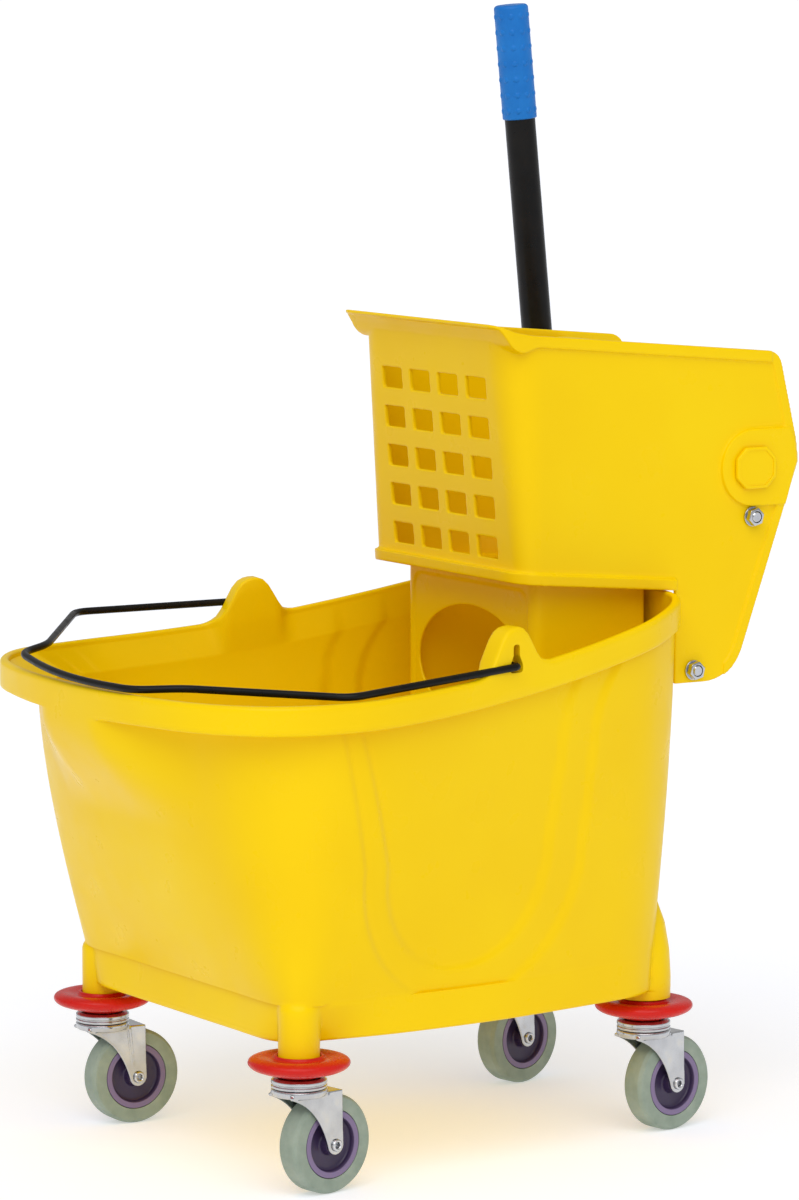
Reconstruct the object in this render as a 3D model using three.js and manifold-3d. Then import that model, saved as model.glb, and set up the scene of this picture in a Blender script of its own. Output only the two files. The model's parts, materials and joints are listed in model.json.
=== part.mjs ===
// Mop bucket on casters with a side-press wringer.
// Millimetres. X is the width, Y the length with the wringer at +Y, Z up.
// The casters stand on z = 0, and the origin is the middle of the object's footprint.
import * as THREE from 'three';
import { mergeVertices } from 'three/addons/utils/BufferGeometryUtils.js';
import Module from 'manifold-3d';

const wasm = await Module();
wasm.setup();

// ---------------------------------------------------------------- driving dimensions
const GAP = 0.3;                  // clearance between pieces that touch
const FAR = { front: -5, rear: 400, low: 300, high: 700, side: 130 };   // where the casing's cutters end
const ORIGIN_Y = 13.8;            // middle of the footprint, measured from the caster centre

const WHEEL = { radius: 38.1, width: 20, hubRadius: 26, trail: 25, bore: 3.8, sides: 24, hubSides: 16 };
const STEM = { radius: 5.5, top: 140, raceRadius: 21.5, raceLow: 84.2, raceHigh: 92 };
const BUMPER = { radius: 40, low: 92.3, edge: 103, high: 109.5 };
const FORK = { plate: 2.2, inner: 11.6, crownZ: 78, crownTop: 83.9 };
const CASTERS = [
  { tag: 'front_near', x: 150, y: -172, swivel: 9.3 },
  { tag: 'front_far', x: -150, y: -172, swivel: -3.2 },
  { tag: 'rear_near', x: 106, y: 174, swivel: 8 },
  { tag: 'rear_far', x: -106, y: 174, swivel: 10.8 },
];

const TUB = {
  bottom: 117, floor: 121, crease: 147, wall: 3.5,
  swell: 1.6, lipHeight: 24, lipWidth: 7, lipDrop: 22, pourFrom: 0.6, pourHalf: 30, pourEnd: 120,
  rimFront: 381, rimRise: 3.2e-4, rimStart: -200,
  frontPost: 15.8, rearPost: 21, postBottom: 107, boreBoss: 9, boreBossRise: 6,
};
// Right halves of four plan outlines, from the middle of the front to the middle of the rear.
const BASE_OUTLINE = [
  [0, -188], [75, -188], [128, -187], [149, -172], [153, -150], [160, -90],
  [159, 0], [148, 90], [136, 150], [112, 174], [60, 178], [0, 179],
];
const CREASE_OUTLINE = [
  [0, -188.5], [80, -188.5], [140, -188], [163, -176], [164, -145], [162, -90],
  [160, 0], [149, 90], [137, 150], [113, 175], [60, 179], [0, 180],
];
const WALL_OUTLINE = [
  [0, -252], [80, -248], [150, -228], [190, -190], [204, -145], [203, -90],
  [189, 0], [173, 90], [157, 150], [124, 188], [60, 196], [0, 197],
];
const RIM_OUTLINE = [
  [0, -286], [80, -281], [150, -262], [198, -222], [216, -160], [213, -95],
  [197, 0], [181, 90], [164, 150], [128, 191], [60, 198.5], [0, 199.5],
];

const EAR = {
  y: -9, inner: 181.5, outer: 197, skin: 4, peak: 425.4, foot: 40, root: 386,
  crown: 11, shoulder: 15.5, shoulderDrop: 11, hollow: 22,
};
const KEYHOLE = { top: 412.5, neck: 403, shoulder: 398, bottom: 391, neckHalf: 3.4, halfWidth: 6.5 };
const BAIL = {
  wire: 2.9, end: 200.8, stub: 186.5, nearZ: 396, farZ: 404.8, middleZ: 402.3, tilt: 2.8, pitch: 2.8,
  knuckle: [208, 153], neck: [104.8, 235], corner: [86.4, 268.5], bow: 283.2, sag: 3,
};

const BOX = {
  half: 110, wall: 3.5, corner: 24, slope: 0.091, lean: 0.0888,
  frontLow: 57.3, low: 445.9, high: 636, slopeFrom: 71,
  floorRear: 199,
};
// The lips round the top and the bottom of the box: reach in front and beside, corner radius, thickness
// beside, depth at the front face, thickness of the front edge and its upturn, rise, and rear end.
const TOP_LIP = {
  front: 12, side: 3, corner: 16, thick: 9, flare: 14, edge: 4, upturn: 7.5, rise: 0, rear: 290,
};
const BOTTOM_LIP = {
  front: 7, side: 3, corner: 29, thick: 9, flare: 9, edge: 9, upturn: 0, rise: 6, rear: 199.5,
};
const LIP_SECTION = { tip: 30, face: 52, level: 60, beside: 66 };       // where a lip's section changes
const SKIRT = { frontY: 199.5, bottomFront: 357, shaftBore: 8.4, tieBore: 4.9 };
const SKIRT_REAR = [[254, 356.5, 40], [317, 528, 6], [315, 545, 6]];    // [y, z, corner radius]
const SKIRT_TOP = { rear: 298, corner: 16 };
const HOOK = { x: 55, half: 5 };                                        // the hooks that hang on the rear rim
const HOLES = { columns: 4, rows: 5, pitchX: 40.2, pitchZ: 31.2, width: 28, height: 16.5, top: 594 };
const SPOUT = {
  half: 92.5, front: 78, rear: 184, low: 290, high: 460, wall: 3.5, frontCorner: 10, rearCorner: 6,
  mouthWidth: 150, mouthHeight: 93, mouthZ: 369.5,
};

const SHAFT = { y: 272.5, z: 524.5, radius: 8, far: -152 };
const UPPER_TIE = { y: 272.8, z: 485.5 };
const HINGE = { y: 216.5, z: 367 };
const TIE = {
  radius: 4.5, headWidth: 13, headHeight: 6, nutHeight: 7, washer: 8, washerThick: 1.6, reach: 118,
};
const GEAR = { pinionPitch: 22, teeth: 12, width: 13, x: 84, addendum: 3, dedendum: 4.2, backlash: 0.9 };
const RACK = { inner: 136.5, ahead: 2, behind: 4, plateAngle: 87 };
const PLATE = {
  tilt: 4, half: 104, low: 81, high: 250, skin: 4, depth: 14, armWidth: 12, barrel: 9.5,
  ribHalf: 1.5, ribs: [-52, 0, 52], crossRibs: [128, 175, 222],
};
const BOSS = { radius: 30.5, raise: 3.5, foot: 304, rear: [[314.5, 528], [312.5, 545]], head: 308 };
const CAP = { width: 38, height: 33, chamfer: 9, thick: 4 };

const LEVER = {
  x: -140, y: 235, z: 627.5, lean: 5.72, radius: 12.5, wall: 1.6,
  bottom: 503, top: 883, gripTop: 887, gripLength: 93, gripRadius: 14,
};
const SOCKET = { hub: 20, sleeve: 16.5, low: 500, high: 590, near: -114, farX: -154 };

const COLOURS = {
  yellow: [0xf6c414, 0.35, 0], red: [0xd8261c, 0.4, 0], black: [0x141414, 0.35, 0.2],
  blue: [0x2f83d2, 0.45, 0], zinc: [0xc4c7c9, 0.25, 0.9], tyre: [0x8a9a8b, 0.7, 0],
  hub: [0x57496f, 0.45, 0], steel: [0xb4b6b8, 0.3, 0.9], dark: [0x202020, 0.5, 0],
};

// ---------------------------------------------------------------- solids
const group = new THREE.Group();
const materials = Object.fromEntries(Object.entries(COLOURS).map(([name, [color, roughness, metalness]]) =>
  [name, new THREE.MeshStandardMaterial({ color, roughness, metalness })]));

function toSolid(geometry) {
  const bare = geometry.clone();
  bare.deleteAttribute('normal');
  bare.deleteAttribute('uv');
  const merged = mergeVertices(bare, 1e-4);
  const index = merged.index.array;
  const triangles = [];
  for (let i = 0; i < index.length; i += 3) {
    const [a, b, c] = index.slice(i, i + 3);
    if (a !== b && b !== c && c !== a) triangles.push(a, b, c);
  }
  const build = (triVerts) => new wasm.Manifold(new wasm.Mesh({
    numProp: 3,
    vertProperties: new Float32Array(merged.attributes.position.array),
    triVerts: new Uint32Array(triVerts),
  }));
  const solid = build(triangles);
  return solid.volume() < 0 ? build(triangles.reverse()) : solid;
}

function toGeometry(solid) {
  const mesh = solid.getMesh();
  const geometry = new THREE.BufferGeometry();
  geometry.setAttribute('position', new THREE.BufferAttribute(mesh.vertProperties, 3));
  geometry.setIndex(new THREE.BufferAttribute(mesh.triVerts, 1));
  geometry.computeVertexNormals();
  return geometry;
}

function addMesh(parent, name, solid, material) {
  const mesh = new THREE.Mesh(toGeometry(solid), materials[material]);
  mesh.name = name;
  parent.add(mesh);
}

function union(solids) {
  return solids.reduce((sum, solid) => sum.add(solid));
}

// A shape of [a, b] points drawn in the YZ plane and extruded from x0 to x1.
function slabX(points, x0, x1) {
  const shape = new THREE.Shape(points.map(([y, z]) => new THREE.Vector2(y, z)));
  const geometry = new THREE.ExtrudeGeometry(shape, { depth: x1 - x0, bevelEnabled: false });
  const axes = new THREE.Matrix4().makeBasis(
    new THREE.Vector3(0, 1, 0), new THREE.Vector3(0, 0, 1), new THREE.Vector3(1, 0, 0));
  geometry.applyMatrix4(axes).translate(x0, 0, 0);
  return toSolid(geometry);
}

// A shape of [x, y] points extruded upwards from z0 to z1, and bent by a rule for each point's y if given.
function slabZ(points, z0, z1, bend = (y) => y) {
  const shape = new THREE.Shape(points.map(([x, y]) => new THREE.Vector2(x, y)));
  const geometry = new THREE.ExtrudeGeometry(shape, { depth: z1 - z0, bevelEnabled: false });
  geometry.translate(0, 0, z0);
  const place = geometry.attributes.position;
  for (let i = 0; i < place.count; i += 1) place.setY(i, bend(place.getY(i), place.getZ(i)));
  return toSolid(geometry);
}

function block(x0, x1, y0, y1, z0, z1) {
  const geometry = new THREE.BoxGeometry(x1 - x0, y1 - y0, z1 - z0);
  return toSolid(geometry.translate((x0 + x1) / 2, (y0 + y1) / 2, (z0 + z1) / 2));
}

// A solid of revolution about the Z axis from a closed [radius, z] profile.
function turned(profile, sides) {
  const points = profile.map(([r, z]) => new THREE.Vector2(r, z));
  const onAxis = profile[0][0] === 0 && profile.at(-1)[0] === 0;
  if (!onAxis) points.push(points[0].clone());
  const geometry = new THREE.LatheGeometry(points, sides, Math.PI / sides);
  return toSolid(geometry.rotateX(Math.PI / 2));
}

function rod(radius, z0, z1, sides = 16) {
  return turned([[0, z0], [radius, z0], [radius, z1], [0, z1]], sides);
}

// Turns a solid made along Z so that it lies along X.
function alongX(solid, y, z) {
  return solid.rotate([0, 90, 0]).translate([0, y, z]);
}

// Points on an arc, in degrees, both ends included.
function arc(cx, cy, radius, from, to, steps) {
  return Array.from({ length: steps + 1 }, (_, i) => {
    const angle = THREE.MathUtils.degToRad(from + (to - from) * i / steps);
    return [cx + radius * Math.cos(angle), cy + radius * Math.sin(angle)];
  });
}

// A polygon with each corner rounded: corners are [x, y, radius].
function rounded(corners, steps = 4) {
  return corners.flatMap(([x, y, radius], i) => {
    if (!radius) return [[x, y]];
    const here = new THREE.Vector2(x, y);
    const before = new THREE.Vector2(...corners.at(i - 1).slice(0, 2)).sub(here).normalize();
    const after = new THREE.Vector2(...corners[(i + 1) % corners.length].slice(0, 2)).sub(here).normalize();
    const half = before.angleTo(after) / 2;
    const reach = radius / Math.tan(half);
    const start = here.clone().addScaledVector(before, reach);
    const end = here.clone().addScaledVector(after, reach);
    return Array.from({ length: steps + 1 }, (_, k) => {
      const t = k / steps;
      const point = new THREE.QuadraticBezierCurve(start, here, end).getPoint(t);
      return [point.x, point.y];
    });
  });
}

// A closed solid through a stack of rings that all have the same number of points.
function loft(rings) {
  const count = rings[0].length;
  const positions = rings.flat(2);
  const indices = [];
  for (let level = 0; level + 1 < rings.length; level += 1) {
    for (let i = 0; i < count; i += 1) {
      const a = level * count + i;
      const b = level * count + (i + 1) % count;
      indices.push(a, b, b + count, a, b + count, a + count);
    }
  }
  [0, rings.length - 1].forEach((level, end) => {
    const ring = rings[level];
    const centre = positions.length / 3;
    for (const axis of [0, 1, 2]) positions.push(ring.reduce((sum, p) => sum + p[axis], 0) / count);
    for (let i = 0; i < count; i += 1) {
      const pair = [level * count + i, level * count + (i + 1) % count];
      indices.push(...(end ? pair : pair.reverse()), centre);
    }
  });
  const geometry = new THREE.BufferGeometry();
  geometry.setAttribute('position', new THREE.BufferAttribute(new Float32Array(positions), 3));
  geometry.setIndex(indices);
  return toSolid(geometry);
}

// ---------------------------------------------------------------- tub
const STEPS_PER_SPAN = 3;

// A closed plan outline, anticlockwise, from its right half.
function planOutline(half) {
  const left = half.slice(1, -1).reverse().map(([x, y]) => [-x, y]);
  const points = [...half, ...left].map(([x, y]) => new THREE.Vector3(x, y, 0));
  const curve = new THREE.CatmullRomCurve3(points, true, 'catmullrom', 0.5);
  const count = points.length * STEPS_PER_SPAN;
  return Array.from({ length: count }, (_, i) => {
    const point = curve.getPoint(i / count);
    return [point.x, point.y];
  });
}

// Moves an outline inwards by a distance.
function inset(outline, distance) {
  const count = outline.length;
  return outline.map(([x, y], i) => {
    const [x0, y0] = outline[(i + count - 1) % count];
    const [x1, y1] = outline[(i + 1) % count];
    const length = Math.hypot(x1 - x0, y1 - y0);
    return [x - distance * (y1 - y0) / length, y + distance * (x1 - x0) / length];
  });
}

function rimHeight(y) {
  return TUB.rimFront + TUB.rimRise * Math.max(0, y - TUB.rimStart) ** 2;
}

const outlines = {
  base: planOutline(BASE_OUTLINE),
  crease: planOutline(CREASE_OUTLINE),
  wall: planOutline(WALL_OUTLINE),
  rim: planOutline(RIM_OUTLINE),
};

// How far the wall runs out into the rim without a step: fully in the middle of the pouring edge.
function pouring([x, y]) {
  return y > 0 ? 0 : 1 - THREE.MathUtils.smoothstep(Math.abs(x), TUB.pourHalf, TUB.pourEnd);
}

// One ring of the tub wall: share 0 is the crease above the skirt, 1 is just under the rim.
function wallRing(share, thickness) {
  const swell = 1 - (1 - share) ** TUB.swell;
  const flare = THREE.MathUtils.smoothstep(share, TUB.pourFrom, 1);
  const low = inset(outlines.crease, thickness);
  const high = inset(outlines.wall, thickness);
  const rim = inset(outlines.rim, thickness ? TUB.lipWidth : 0);
  return low.map((foot, i) => {
    const top = rimHeight(high[i][1]) - TUB.lipHeight;
    const run = flare * pouring(high[i]);
    const [x, y] = foot.map((value, axis) => {
      const plain = value + (high[i][axis] - value) * swell;
      return plain + (rim[i][axis] - plain) * run;
    });
    return [x, y, TUB.crease + (top - TUB.crease) * share];
  });
}

function flatRing(outline, z) {
  return outline.map(([x, y]) => [x, y, z]);
}

function rimRing(distance, drop) {
  return inset(outlines.rim, distance).map(([x, y]) => [x, y, rimHeight(y) - drop]);
}

function tubSolid() {
  const shares = [0, 0.15, 0.35, 0.6, 0.8, 1];
  const outer = loft([
    flatRing(inset(outlines.base, 1.5), TUB.bottom),
    flatRing(outlines.base, TUB.bottom + 3),
    ...shares.map((share) => wallRing(share, 0)),
    rimRing(0, TUB.lipDrop),
    rimRing(0, 4),
    rimRing(2, 0),
    rimRing(TUB.lipWidth, 0),
  ]);
  const inner = loft([
    flatRing(inset(outlines.base, TUB.wall + 4), TUB.floor),
    flatRing(inset(outlines.base, TUB.wall), TUB.floor + 5),
    ...shares.map((share) => wallRing(share, TUB.wall)),
    rimRing(TUB.lipWidth, 2),
    rimRing(TUB.lipWidth, -60),
  ]);
  const posts = CASTERS.map(({ x, y }) => postSolid(y > 0).translate([x, y, 0]));
  const bore = rod(STEM.radius + GAP, 100, STEM.top + GAP, 12);
  const bores = CASTERS.map(({ x, y }) => bore.translate([x, y, 0]));
  const shell = union([outer, ...posts]).subtract(inner);
  const boreBoss = rod(TUB.boreBoss, TUB.floor - 1, STEM.top + TUB.boreBossRise, 12);
  const boreBosses = CASTERS.map(({ x, y }) => boreBoss.translate([x, y, 0]));
  const [near, far] = [1, -1].map((side) => earSolids(side));
  return union([shell, ...boreBosses, near[0], far[0]]).subtract(union([...bores, near[1], far[1]]));
}

// The leg that a caster stem fits in: a plain post in front, a swelling that fades upwards behind.
function postSolid(rear) {
  if (!rear) return rod(TUB.frontPost, TUB.postBottom, TUB.crease + 6, 20);
  const shoulder = BUMPER.high + GAP;
  return turned([
    [0, TUB.postBottom], [16, TUB.postBottom], [16, shoulder], [TUB.rearPost, shoulder], [TUB.rearPost, 128],
    [19.8, 148], [16, 170], [9, 188], [0, 197],
  ], 20);
}

// The hump on the rim that holds one end of the bail, and its keyhole.
function earSolids(side) {
  const profile = new THREE.Shape();
  const shoulder = EAR.peak - EAR.shoulderDrop;
  const [frontFoot, rearFoot] = [EAR.y - EAR.foot, EAR.y + EAR.foot];
  profile.moveTo(frontFoot, EAR.root);
  profile.lineTo(frontFoot, rimHeight(frontFoot) - 1);
  profile.quadraticCurveTo(EAR.y - EAR.hollow, rimHeight(EAR.y) + 1, EAR.y - EAR.shoulder, shoulder);
  profile.quadraticCurveTo(EAR.y - EAR.crown, EAR.peak, EAR.y, EAR.peak);
  profile.quadraticCurveTo(EAR.y + EAR.crown, EAR.peak, EAR.y + EAR.shoulder, shoulder);
  profile.quadraticCurveTo(EAR.y + EAR.hollow, rimHeight(EAR.y) + 3, rearFoot, rimHeight(rearFoot) - 1);
  profile.lineTo(rearFoot, EAR.root);
  const outline = profile.extractPoints(6).shape.map((p) => [p.x, p.y]);
  const keyhole = [
    [EAR.y - KEYHOLE.halfWidth, KEYHOLE.bottom], [EAR.y + KEYHOLE.halfWidth, KEYHOLE.bottom],
    [EAR.y + KEYHOLE.halfWidth, KEYHOLE.shoulder], [EAR.y + KEYHOLE.neckHalf, KEYHOLE.neck],
    [EAR.y + KEYHOLE.neckHalf, KEYHOLE.top], [EAR.y - KEYHOLE.neckHalf, KEYHOLE.top],
    [EAR.y - KEYHOLE.neckHalf, KEYHOLE.neck], [EAR.y - KEYHOLE.halfWidth, KEYHOLE.shoulder],
  ];
  const solids = [slabX(outline, EAR.inner, EAR.outer), slabX(keyhole, EAR.inner + EAR.skin, EAR.outer + 20)];
  return side > 0 ? solids : solids.map((solid) => solid.mirror([1, 0, 0]));
}

// ---------------------------------------------------------------- casters
function addCaster({ tag, x, y, swivel }) {
  const place = new THREE.Group();
  place.position.set(x, y, 0);
  group.add(place);

  addMesh(place, `bumper_${tag}`, turned([
    [STEM.radius + GAP, BUMPER.low], [15.5, BUMPER.low], [18, 95], [33.5, 97],
    [BUMPER.radius, BUMPER.edge], [33.5, BUMPER.high], [16.5, TUB.postBottom - GAP],
    [STEM.radius + GAP, TUB.postBottom - GAP],
  ], 20), 'red');
  addMesh(place, `caster_stem_${tag}`, turned([
    [0, STEM.raceLow], [STEM.raceRadius, STEM.raceLow], [STEM.raceRadius, 90],
    [19.5, STEM.raceHigh], [STEM.radius, STEM.raceHigh], [STEM.radius, STEM.top - GAP],
    [0, STEM.top - GAP],
  ], 16), 'zinc');

  const turning = new THREE.Group();
  turning.rotation.z = THREE.MathUtils.degToRad(swivel);
  place.add(turning);
  addMesh(turning, `caster_fork_${tag}`, forkSolid(), 'zinc');

  const axle = new THREE.Group();
  axle.position.set(0, WHEEL.trail, WHEEL.radius);
  turning.add(axle);
  addMesh(axle, `axle_rivet_${tag}`, rivetSolid(), 'steel');
  addMesh(axle, `wheel_hub_${tag}`, alongX(hubSolid(), 0, 0), 'hub');
  addMesh(axle, `wheel_tyre_${tag}`, alongX(tyreSolid(), 0, 0), 'tyre');
}

// A stamped fork: a round swivel cup, a crown plate and two legs that taper to the axle.
function forkSolid() {
  const { inner, plate, crownZ, crownTop } = FORK;
  const outer = inner + plate;
  const legCurve = new THREE.QuadraticBezierCurve(
    new THREE.Vector2(-19, crownZ), new THREE.Vector2(9, 69), new THREE.Vector2(18, 35.5));
  const legOutline = [
    ...legCurve.getPoints(4).map((p) => [p.x, p.y]),
    ...arc(WHEEL.trail, WHEEL.radius, 7.5, 205, 370, 5),
    [31.5, crownZ + plate], [-19, crownZ + plate],
  ];
  const legs = [-outer, inner].map((x) => slabX(legOutline, x, x + plate));
  const crown = block(-outer, outer, -19, 31.5, crownZ, crownZ + plate);
  const cup = rod(STEM.raceRadius, crownZ, crownTop, 16);
  const axleHole = alongX(rod(WHEEL.bore, -30, 30, 8), WHEEL.trail, WHEEL.radius);
  return union([cup, crown, ...legs]).subtract(axleHole);
}

// A tubular rivet: the axle of the wheel, headed outside both fork legs.
function rivetSolid() {
  const face = FORK.inner + FORK.plate + GAP;
  const radius = WHEEL.bore - GAP;
  return alongX(turned([
    [0, -face - 1.8], [5.6, -face - 1.8], [5.6, -face], [radius, -face],
    [radius, face], [5.6, face], [5.6, face + 2.2], [2.2, face + 2.2], [2.2, face - 3], [0, face - 3],
  ], 8), 0, 0);
}

function hubSolid() {
  const half = WHEEL.width / 2;
  const rimOuter = WHEEL.hubRadius;
  const side = [
    [WHEEL.bore, half + 1], [7.5, half + 1], [8.5, 4], [21, 4.5], [22, half], [rimOuter, half],
  ];
  return turned([...side, ...side.map(([r, z]) => [r, -z]).reverse()], WHEEL.hubSides);
}

// The tyre is drawn round the wheel's radius, so that it stands on a flat of its tread.
function tyreSolid() {
  const half = WHEEL.width / 2;
  const inner = WHEEL.hubRadius / Math.cos(Math.PI / WHEEL.sides) + GAP;
  const outer = WHEEL.radius / Math.cos(Math.PI / WHEEL.sides);
  return turned([
    [inner, -half], [outer - 4, -half], [outer, -half + 3.5], [outer, half - 3.5],
    [outer - 4, half], [inner, half],
  ], WHEEL.sides);
}

// ---------------------------------------------------------------- bail
// A bent wire: stubs in the two keyholes, long legs, and a front run that follows the rim.
// It leans to the near side and rests on the rim there, as a loose bail does.
function bailSolid() {
  const lean = Math.tan(THREE.MathUtils.degToRad(BAIL.tilt));
  const dip = Math.tan(THREE.MathUtils.degToRad(BAIL.pitch));
  const place = (x, reach) => new THREE.Vector3(x, EAR.y - reach, BAIL.middleZ - x * lean - reach * dip);
  const leg = (sign) => [BAIL.knuckle, BAIL.neck, BAIL.corner].map(([x, reach]) => place(sign * x, reach));
  const stub = (sign, z) => [BAIL.end, BAIL.stub].map((x) => new THREE.Vector3(sign * x, EAR.y, z));
  const bow = place(0, BAIL.bow);
  bow.z -= BAIL.sag;
  const corners = [
    ...stub(-1, BAIL.farZ).reverse(), ...leg(-1), bow, ...leg(1).reverse(),
    ...stub(1, BAIL.nearZ),
  ];
  const bends = [0, 4, 12, 12, 14, 60, 14, 12, 12, 4, 0];
  const path = new FilletedPath(corners, bends);
  const section = new THREE.Shape(arc(0, 0, BAIL.wire, 0, 300, 5).map(([a, b]) => new THREE.Vector2(a, b)));
  return toSolid(new THREE.ExtrudeGeometry(section, {
    steps: path.points.length - 1, bevelEnabled: false, extrudePath: path,
  }));
}

// Straight runs joined by bends, with one step along each run and three round each bend.
class FilletedPath extends THREE.Curve {
  constructor(corners, bends) {
    super();
    this.points = [corners[0]];
    for (let i = 1; i + 1 < corners.length; i += 1) {
      const here = corners[i];
      const before = corners[i - 1].clone().sub(here).setLength(bends[i]).add(here);
      const after = corners[i + 1].clone().sub(here).setLength(bends[i]).add(here);
      this.points.push(...new THREE.QuadraticBezierCurve3(before, here, after).getPoints(3));
    }
    this.points.push(corners.at(-1));
  }

  getPoint(t, target = new THREE.Vector3()) {
    const place = t * (this.points.length - 1);
    const index = Math.min(Math.floor(place), this.points.length - 2);
    return target.lerpVectors(this.points[index], this.points[index + 1], place - index);
  }

  getPointAt(t, target) {
    return this.getPoint(t, target);
  }

  getTangentAt(t, target) {
    return this.getTangent(t, target);
  }
}

// ---------------------------------------------------------------- wringer casing
function boxTop(y) {
  return BOX.high - BOX.slope * (y - BOX.slopeFrom);
}

function boxLow(y) {
  return BOX.low - BOX.slope * (y - BOX.slopeFrom);
}

// The outline of a side panel, [y, z, corner radius], anticlockwise from the front bottom corner.
function sideOutline() {
  const front = 0;
  return rounded([
    [front, boxLow(front)],
    [SKIRT.frontY, boxLow(SKIRT.frontY)],
    [SKIRT.frontY, SKIRT.bottomFront],
    ...SKIRT_REAR,
    [SKIRT_TOP.rear, boxTop(SKIRT_TOP.rear), SKIRT_TOP.corner],
    [front, boxTop(front)],
  ]);
}

// The rounded front of the box in plan, leaning forwards towards the top.
function frontPrism(half, front, corner, rear) {
  const low = 280;
  const high = 700;
  const plan = rounded([[-half, rear], [-half, front, corner], [half, front, corner], [half, rear]], 5);
  return slabZ(plan.reverse(), low, high, (y, z) => {
    const fade = 1 - THREE.MathUtils.smoothstep(y, BOX.frontLow + BOX.corner, rear);
    return y - BOX.lean * (z - BOX.low) * fade;
  });
}

// The box in plan, or its inside when it is set inwards by the wall.
function boxPrism(inward, rear) {
  return frontPrism(BOX.half - inward, BOX.frontLow + inward, BOX.corner - inward, rear);
}

function frontHoles() {
  const cutters = [];
  const [halfWidth, halfHeight] = [HOLES.width / 2, HOLES.height / 2];
  for (let column = 0; column < HOLES.columns; column += 1) {
    for (let row = 0; row < HOLES.rows; row += 1) {
      const x = (column - (HOLES.columns - 1) / 2) * HOLES.pitchX;
      const z = HOLES.top - row * HOLES.pitchZ;
      cutters.push(block(x - halfWidth, x + halfWidth, 0, 80, z - halfHeight, z + halfHeight));
    }
  }
  return union(cutters);
}

function ovalX(width, height, z, y0, y1) {
  const oval = Array.from({ length: 24 }, (_, i) => {
    const angle = i * Math.PI / 12;
    return [width / 2 * Math.cos(angle), height / 2 * Math.sin(angle)];
  });
  return slabZ(oval, 0, y1 - y0).rotate([90, 0, 0]).translate([0, y1, z]);
}

function casingSolid() {
  const { half, wall, floorRear } = BOX;
  const outer = slabX(sideOutline(), -half, half).intersect(boxPrism(0, FAR.rear));
  const innerSide = [
    [FAR.front, boxLow(FAR.front) + wall], [floorRear + 60, boxLow(floorRear + 60) + wall],
    [floorRear + 60, FAR.low], [FAR.rear, FAR.low], [FAR.rear, FAR.high], [FAR.front, FAR.high],
  ];
  const inner = slabX(innerSide, wall - half, half - wall).intersect(boxPrism(wall, FAR.rear + 100));
  const behindFloor = block(wall - half, half - wall, floorRear, FAR.rear, FAR.low, FAR.high);
  const lips = lipSolid(TOP_LIP, boxTop).add(lipSolid(BOTTOM_LIP, boxLow));
  const bosses = slabX(bossOutline(), -half - BOSS.raise, half + BOSS.raise)
    .subtract(block(wall - half, half - wall, 0, FAR.rear, FAR.low, FAR.high));
  const spout = spoutSolid();
  const hooks = [-HOOK.x, HOOK.x].map((x) => block(x - HOOK.half, x + HOOK.half, SPOUT.rear - 2, floorRear,
    rimHeight(floorRear) + GAP, boxLow(floorRear) + 2));
  const bores = union([
    alongX(rod(SKIRT.shaftBore, -FAR.side, FAR.side), SHAFT.y, SHAFT.z),
    alongX(rod(SKIRT.tieBore, -FAR.side, FAR.side, 12), UPPER_TIE.y, UPPER_TIE.z),
    alongX(rod(SKIRT.tieBore, -FAR.side, FAR.side, 12), HINGE.y, HINGE.z),
  ]);
  const throat = block(wall + SPOUT.wall - SPOUT.half, SPOUT.half - wall - SPOUT.wall,
    SPOUT.front + SPOUT.wall, SPOUT.rear - SPOUT.wall, SPOUT.low, SPOUT.high);
  return outer.subtract(inner).subtract(behindFloor)
    .add(lips).add(bosses).add(spout).add(union(hooks))
    .subtract(frontHoles()).subtract(throat).subtract(bores);
}

// A lip round the box: a low bead along the sides, and a wider one that flares out and up across the front.
function lipSolid({ front, side, corner, thick, flare, edge, upturn, rise, rear }, line) {
  const height = (y) => line(y) + rise;
  const { tip, face, level, beside } = LIP_SECTION;
  const ring = frontPrism(BOX.half + side, BOX.frontLow - front, corner, rear)
    .subtract(boxPrism(BOX.wall - 0.5, rear + 20));
  const section = [
    [0, height(0) + upturn - edge], [tip, height(tip) + upturn - edge], [face, height(face) - flare],
    [beside, height(beside) - thick], [rear, height(rear) - thick], [rear, height(rear)],
    [level, height(level)], [tip, height(tip) + upturn], [0, height(0) + upturn],
  ];
  return ring.intersect(slabX(section, -BOX.half - side, BOX.half + side));
}

// The D-shaped boss round the shaft: round in front, cut off along the rear edge.
function bossOutline() {
  return [
    ...arc(SHAFT.y, SHAFT.z, BOSS.radius, 90, 270, 12),
    [BOSS.foot, SHAFT.z - BOSS.radius], ...BOSS.rear, [BOSS.head, SHAFT.z + BOSS.radius],
  ].reverse();
}

// The drain spout that hangs inside the tub: open above, below and through its oval mouth.
function spoutSolid() {
  const { half, front, rear, low, high, wall, frontCorner, rearCorner } = SPOUT;
  const plan = (inward) => rounded([
    [inward - half, rear - inward, rearCorner], [inward - half, front + inward, frontCorner - inward],
    [half - inward, front + inward, frontCorner - inward], [half - inward, rear - inward, rearCorner],
  ], 3).reverse();
  const aboveFloor = slabX([
    [0, boxLow(0) + 1], [rear + 20, boxLow(rear + 20) + 1], [rear + 20, 500], [0, 500],
  ], -half - 1, half + 1);
  const shell = slabZ(plan(0), low, high).subtract(slabZ(plan(wall), low - 1, high + 1)).subtract(aboveFloor);
  return shell.subtract(ovalX(SPOUT.mouthWidth, SPOUT.mouthHeight, SPOUT.mouthZ, front - 5, front + 20));
}

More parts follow.
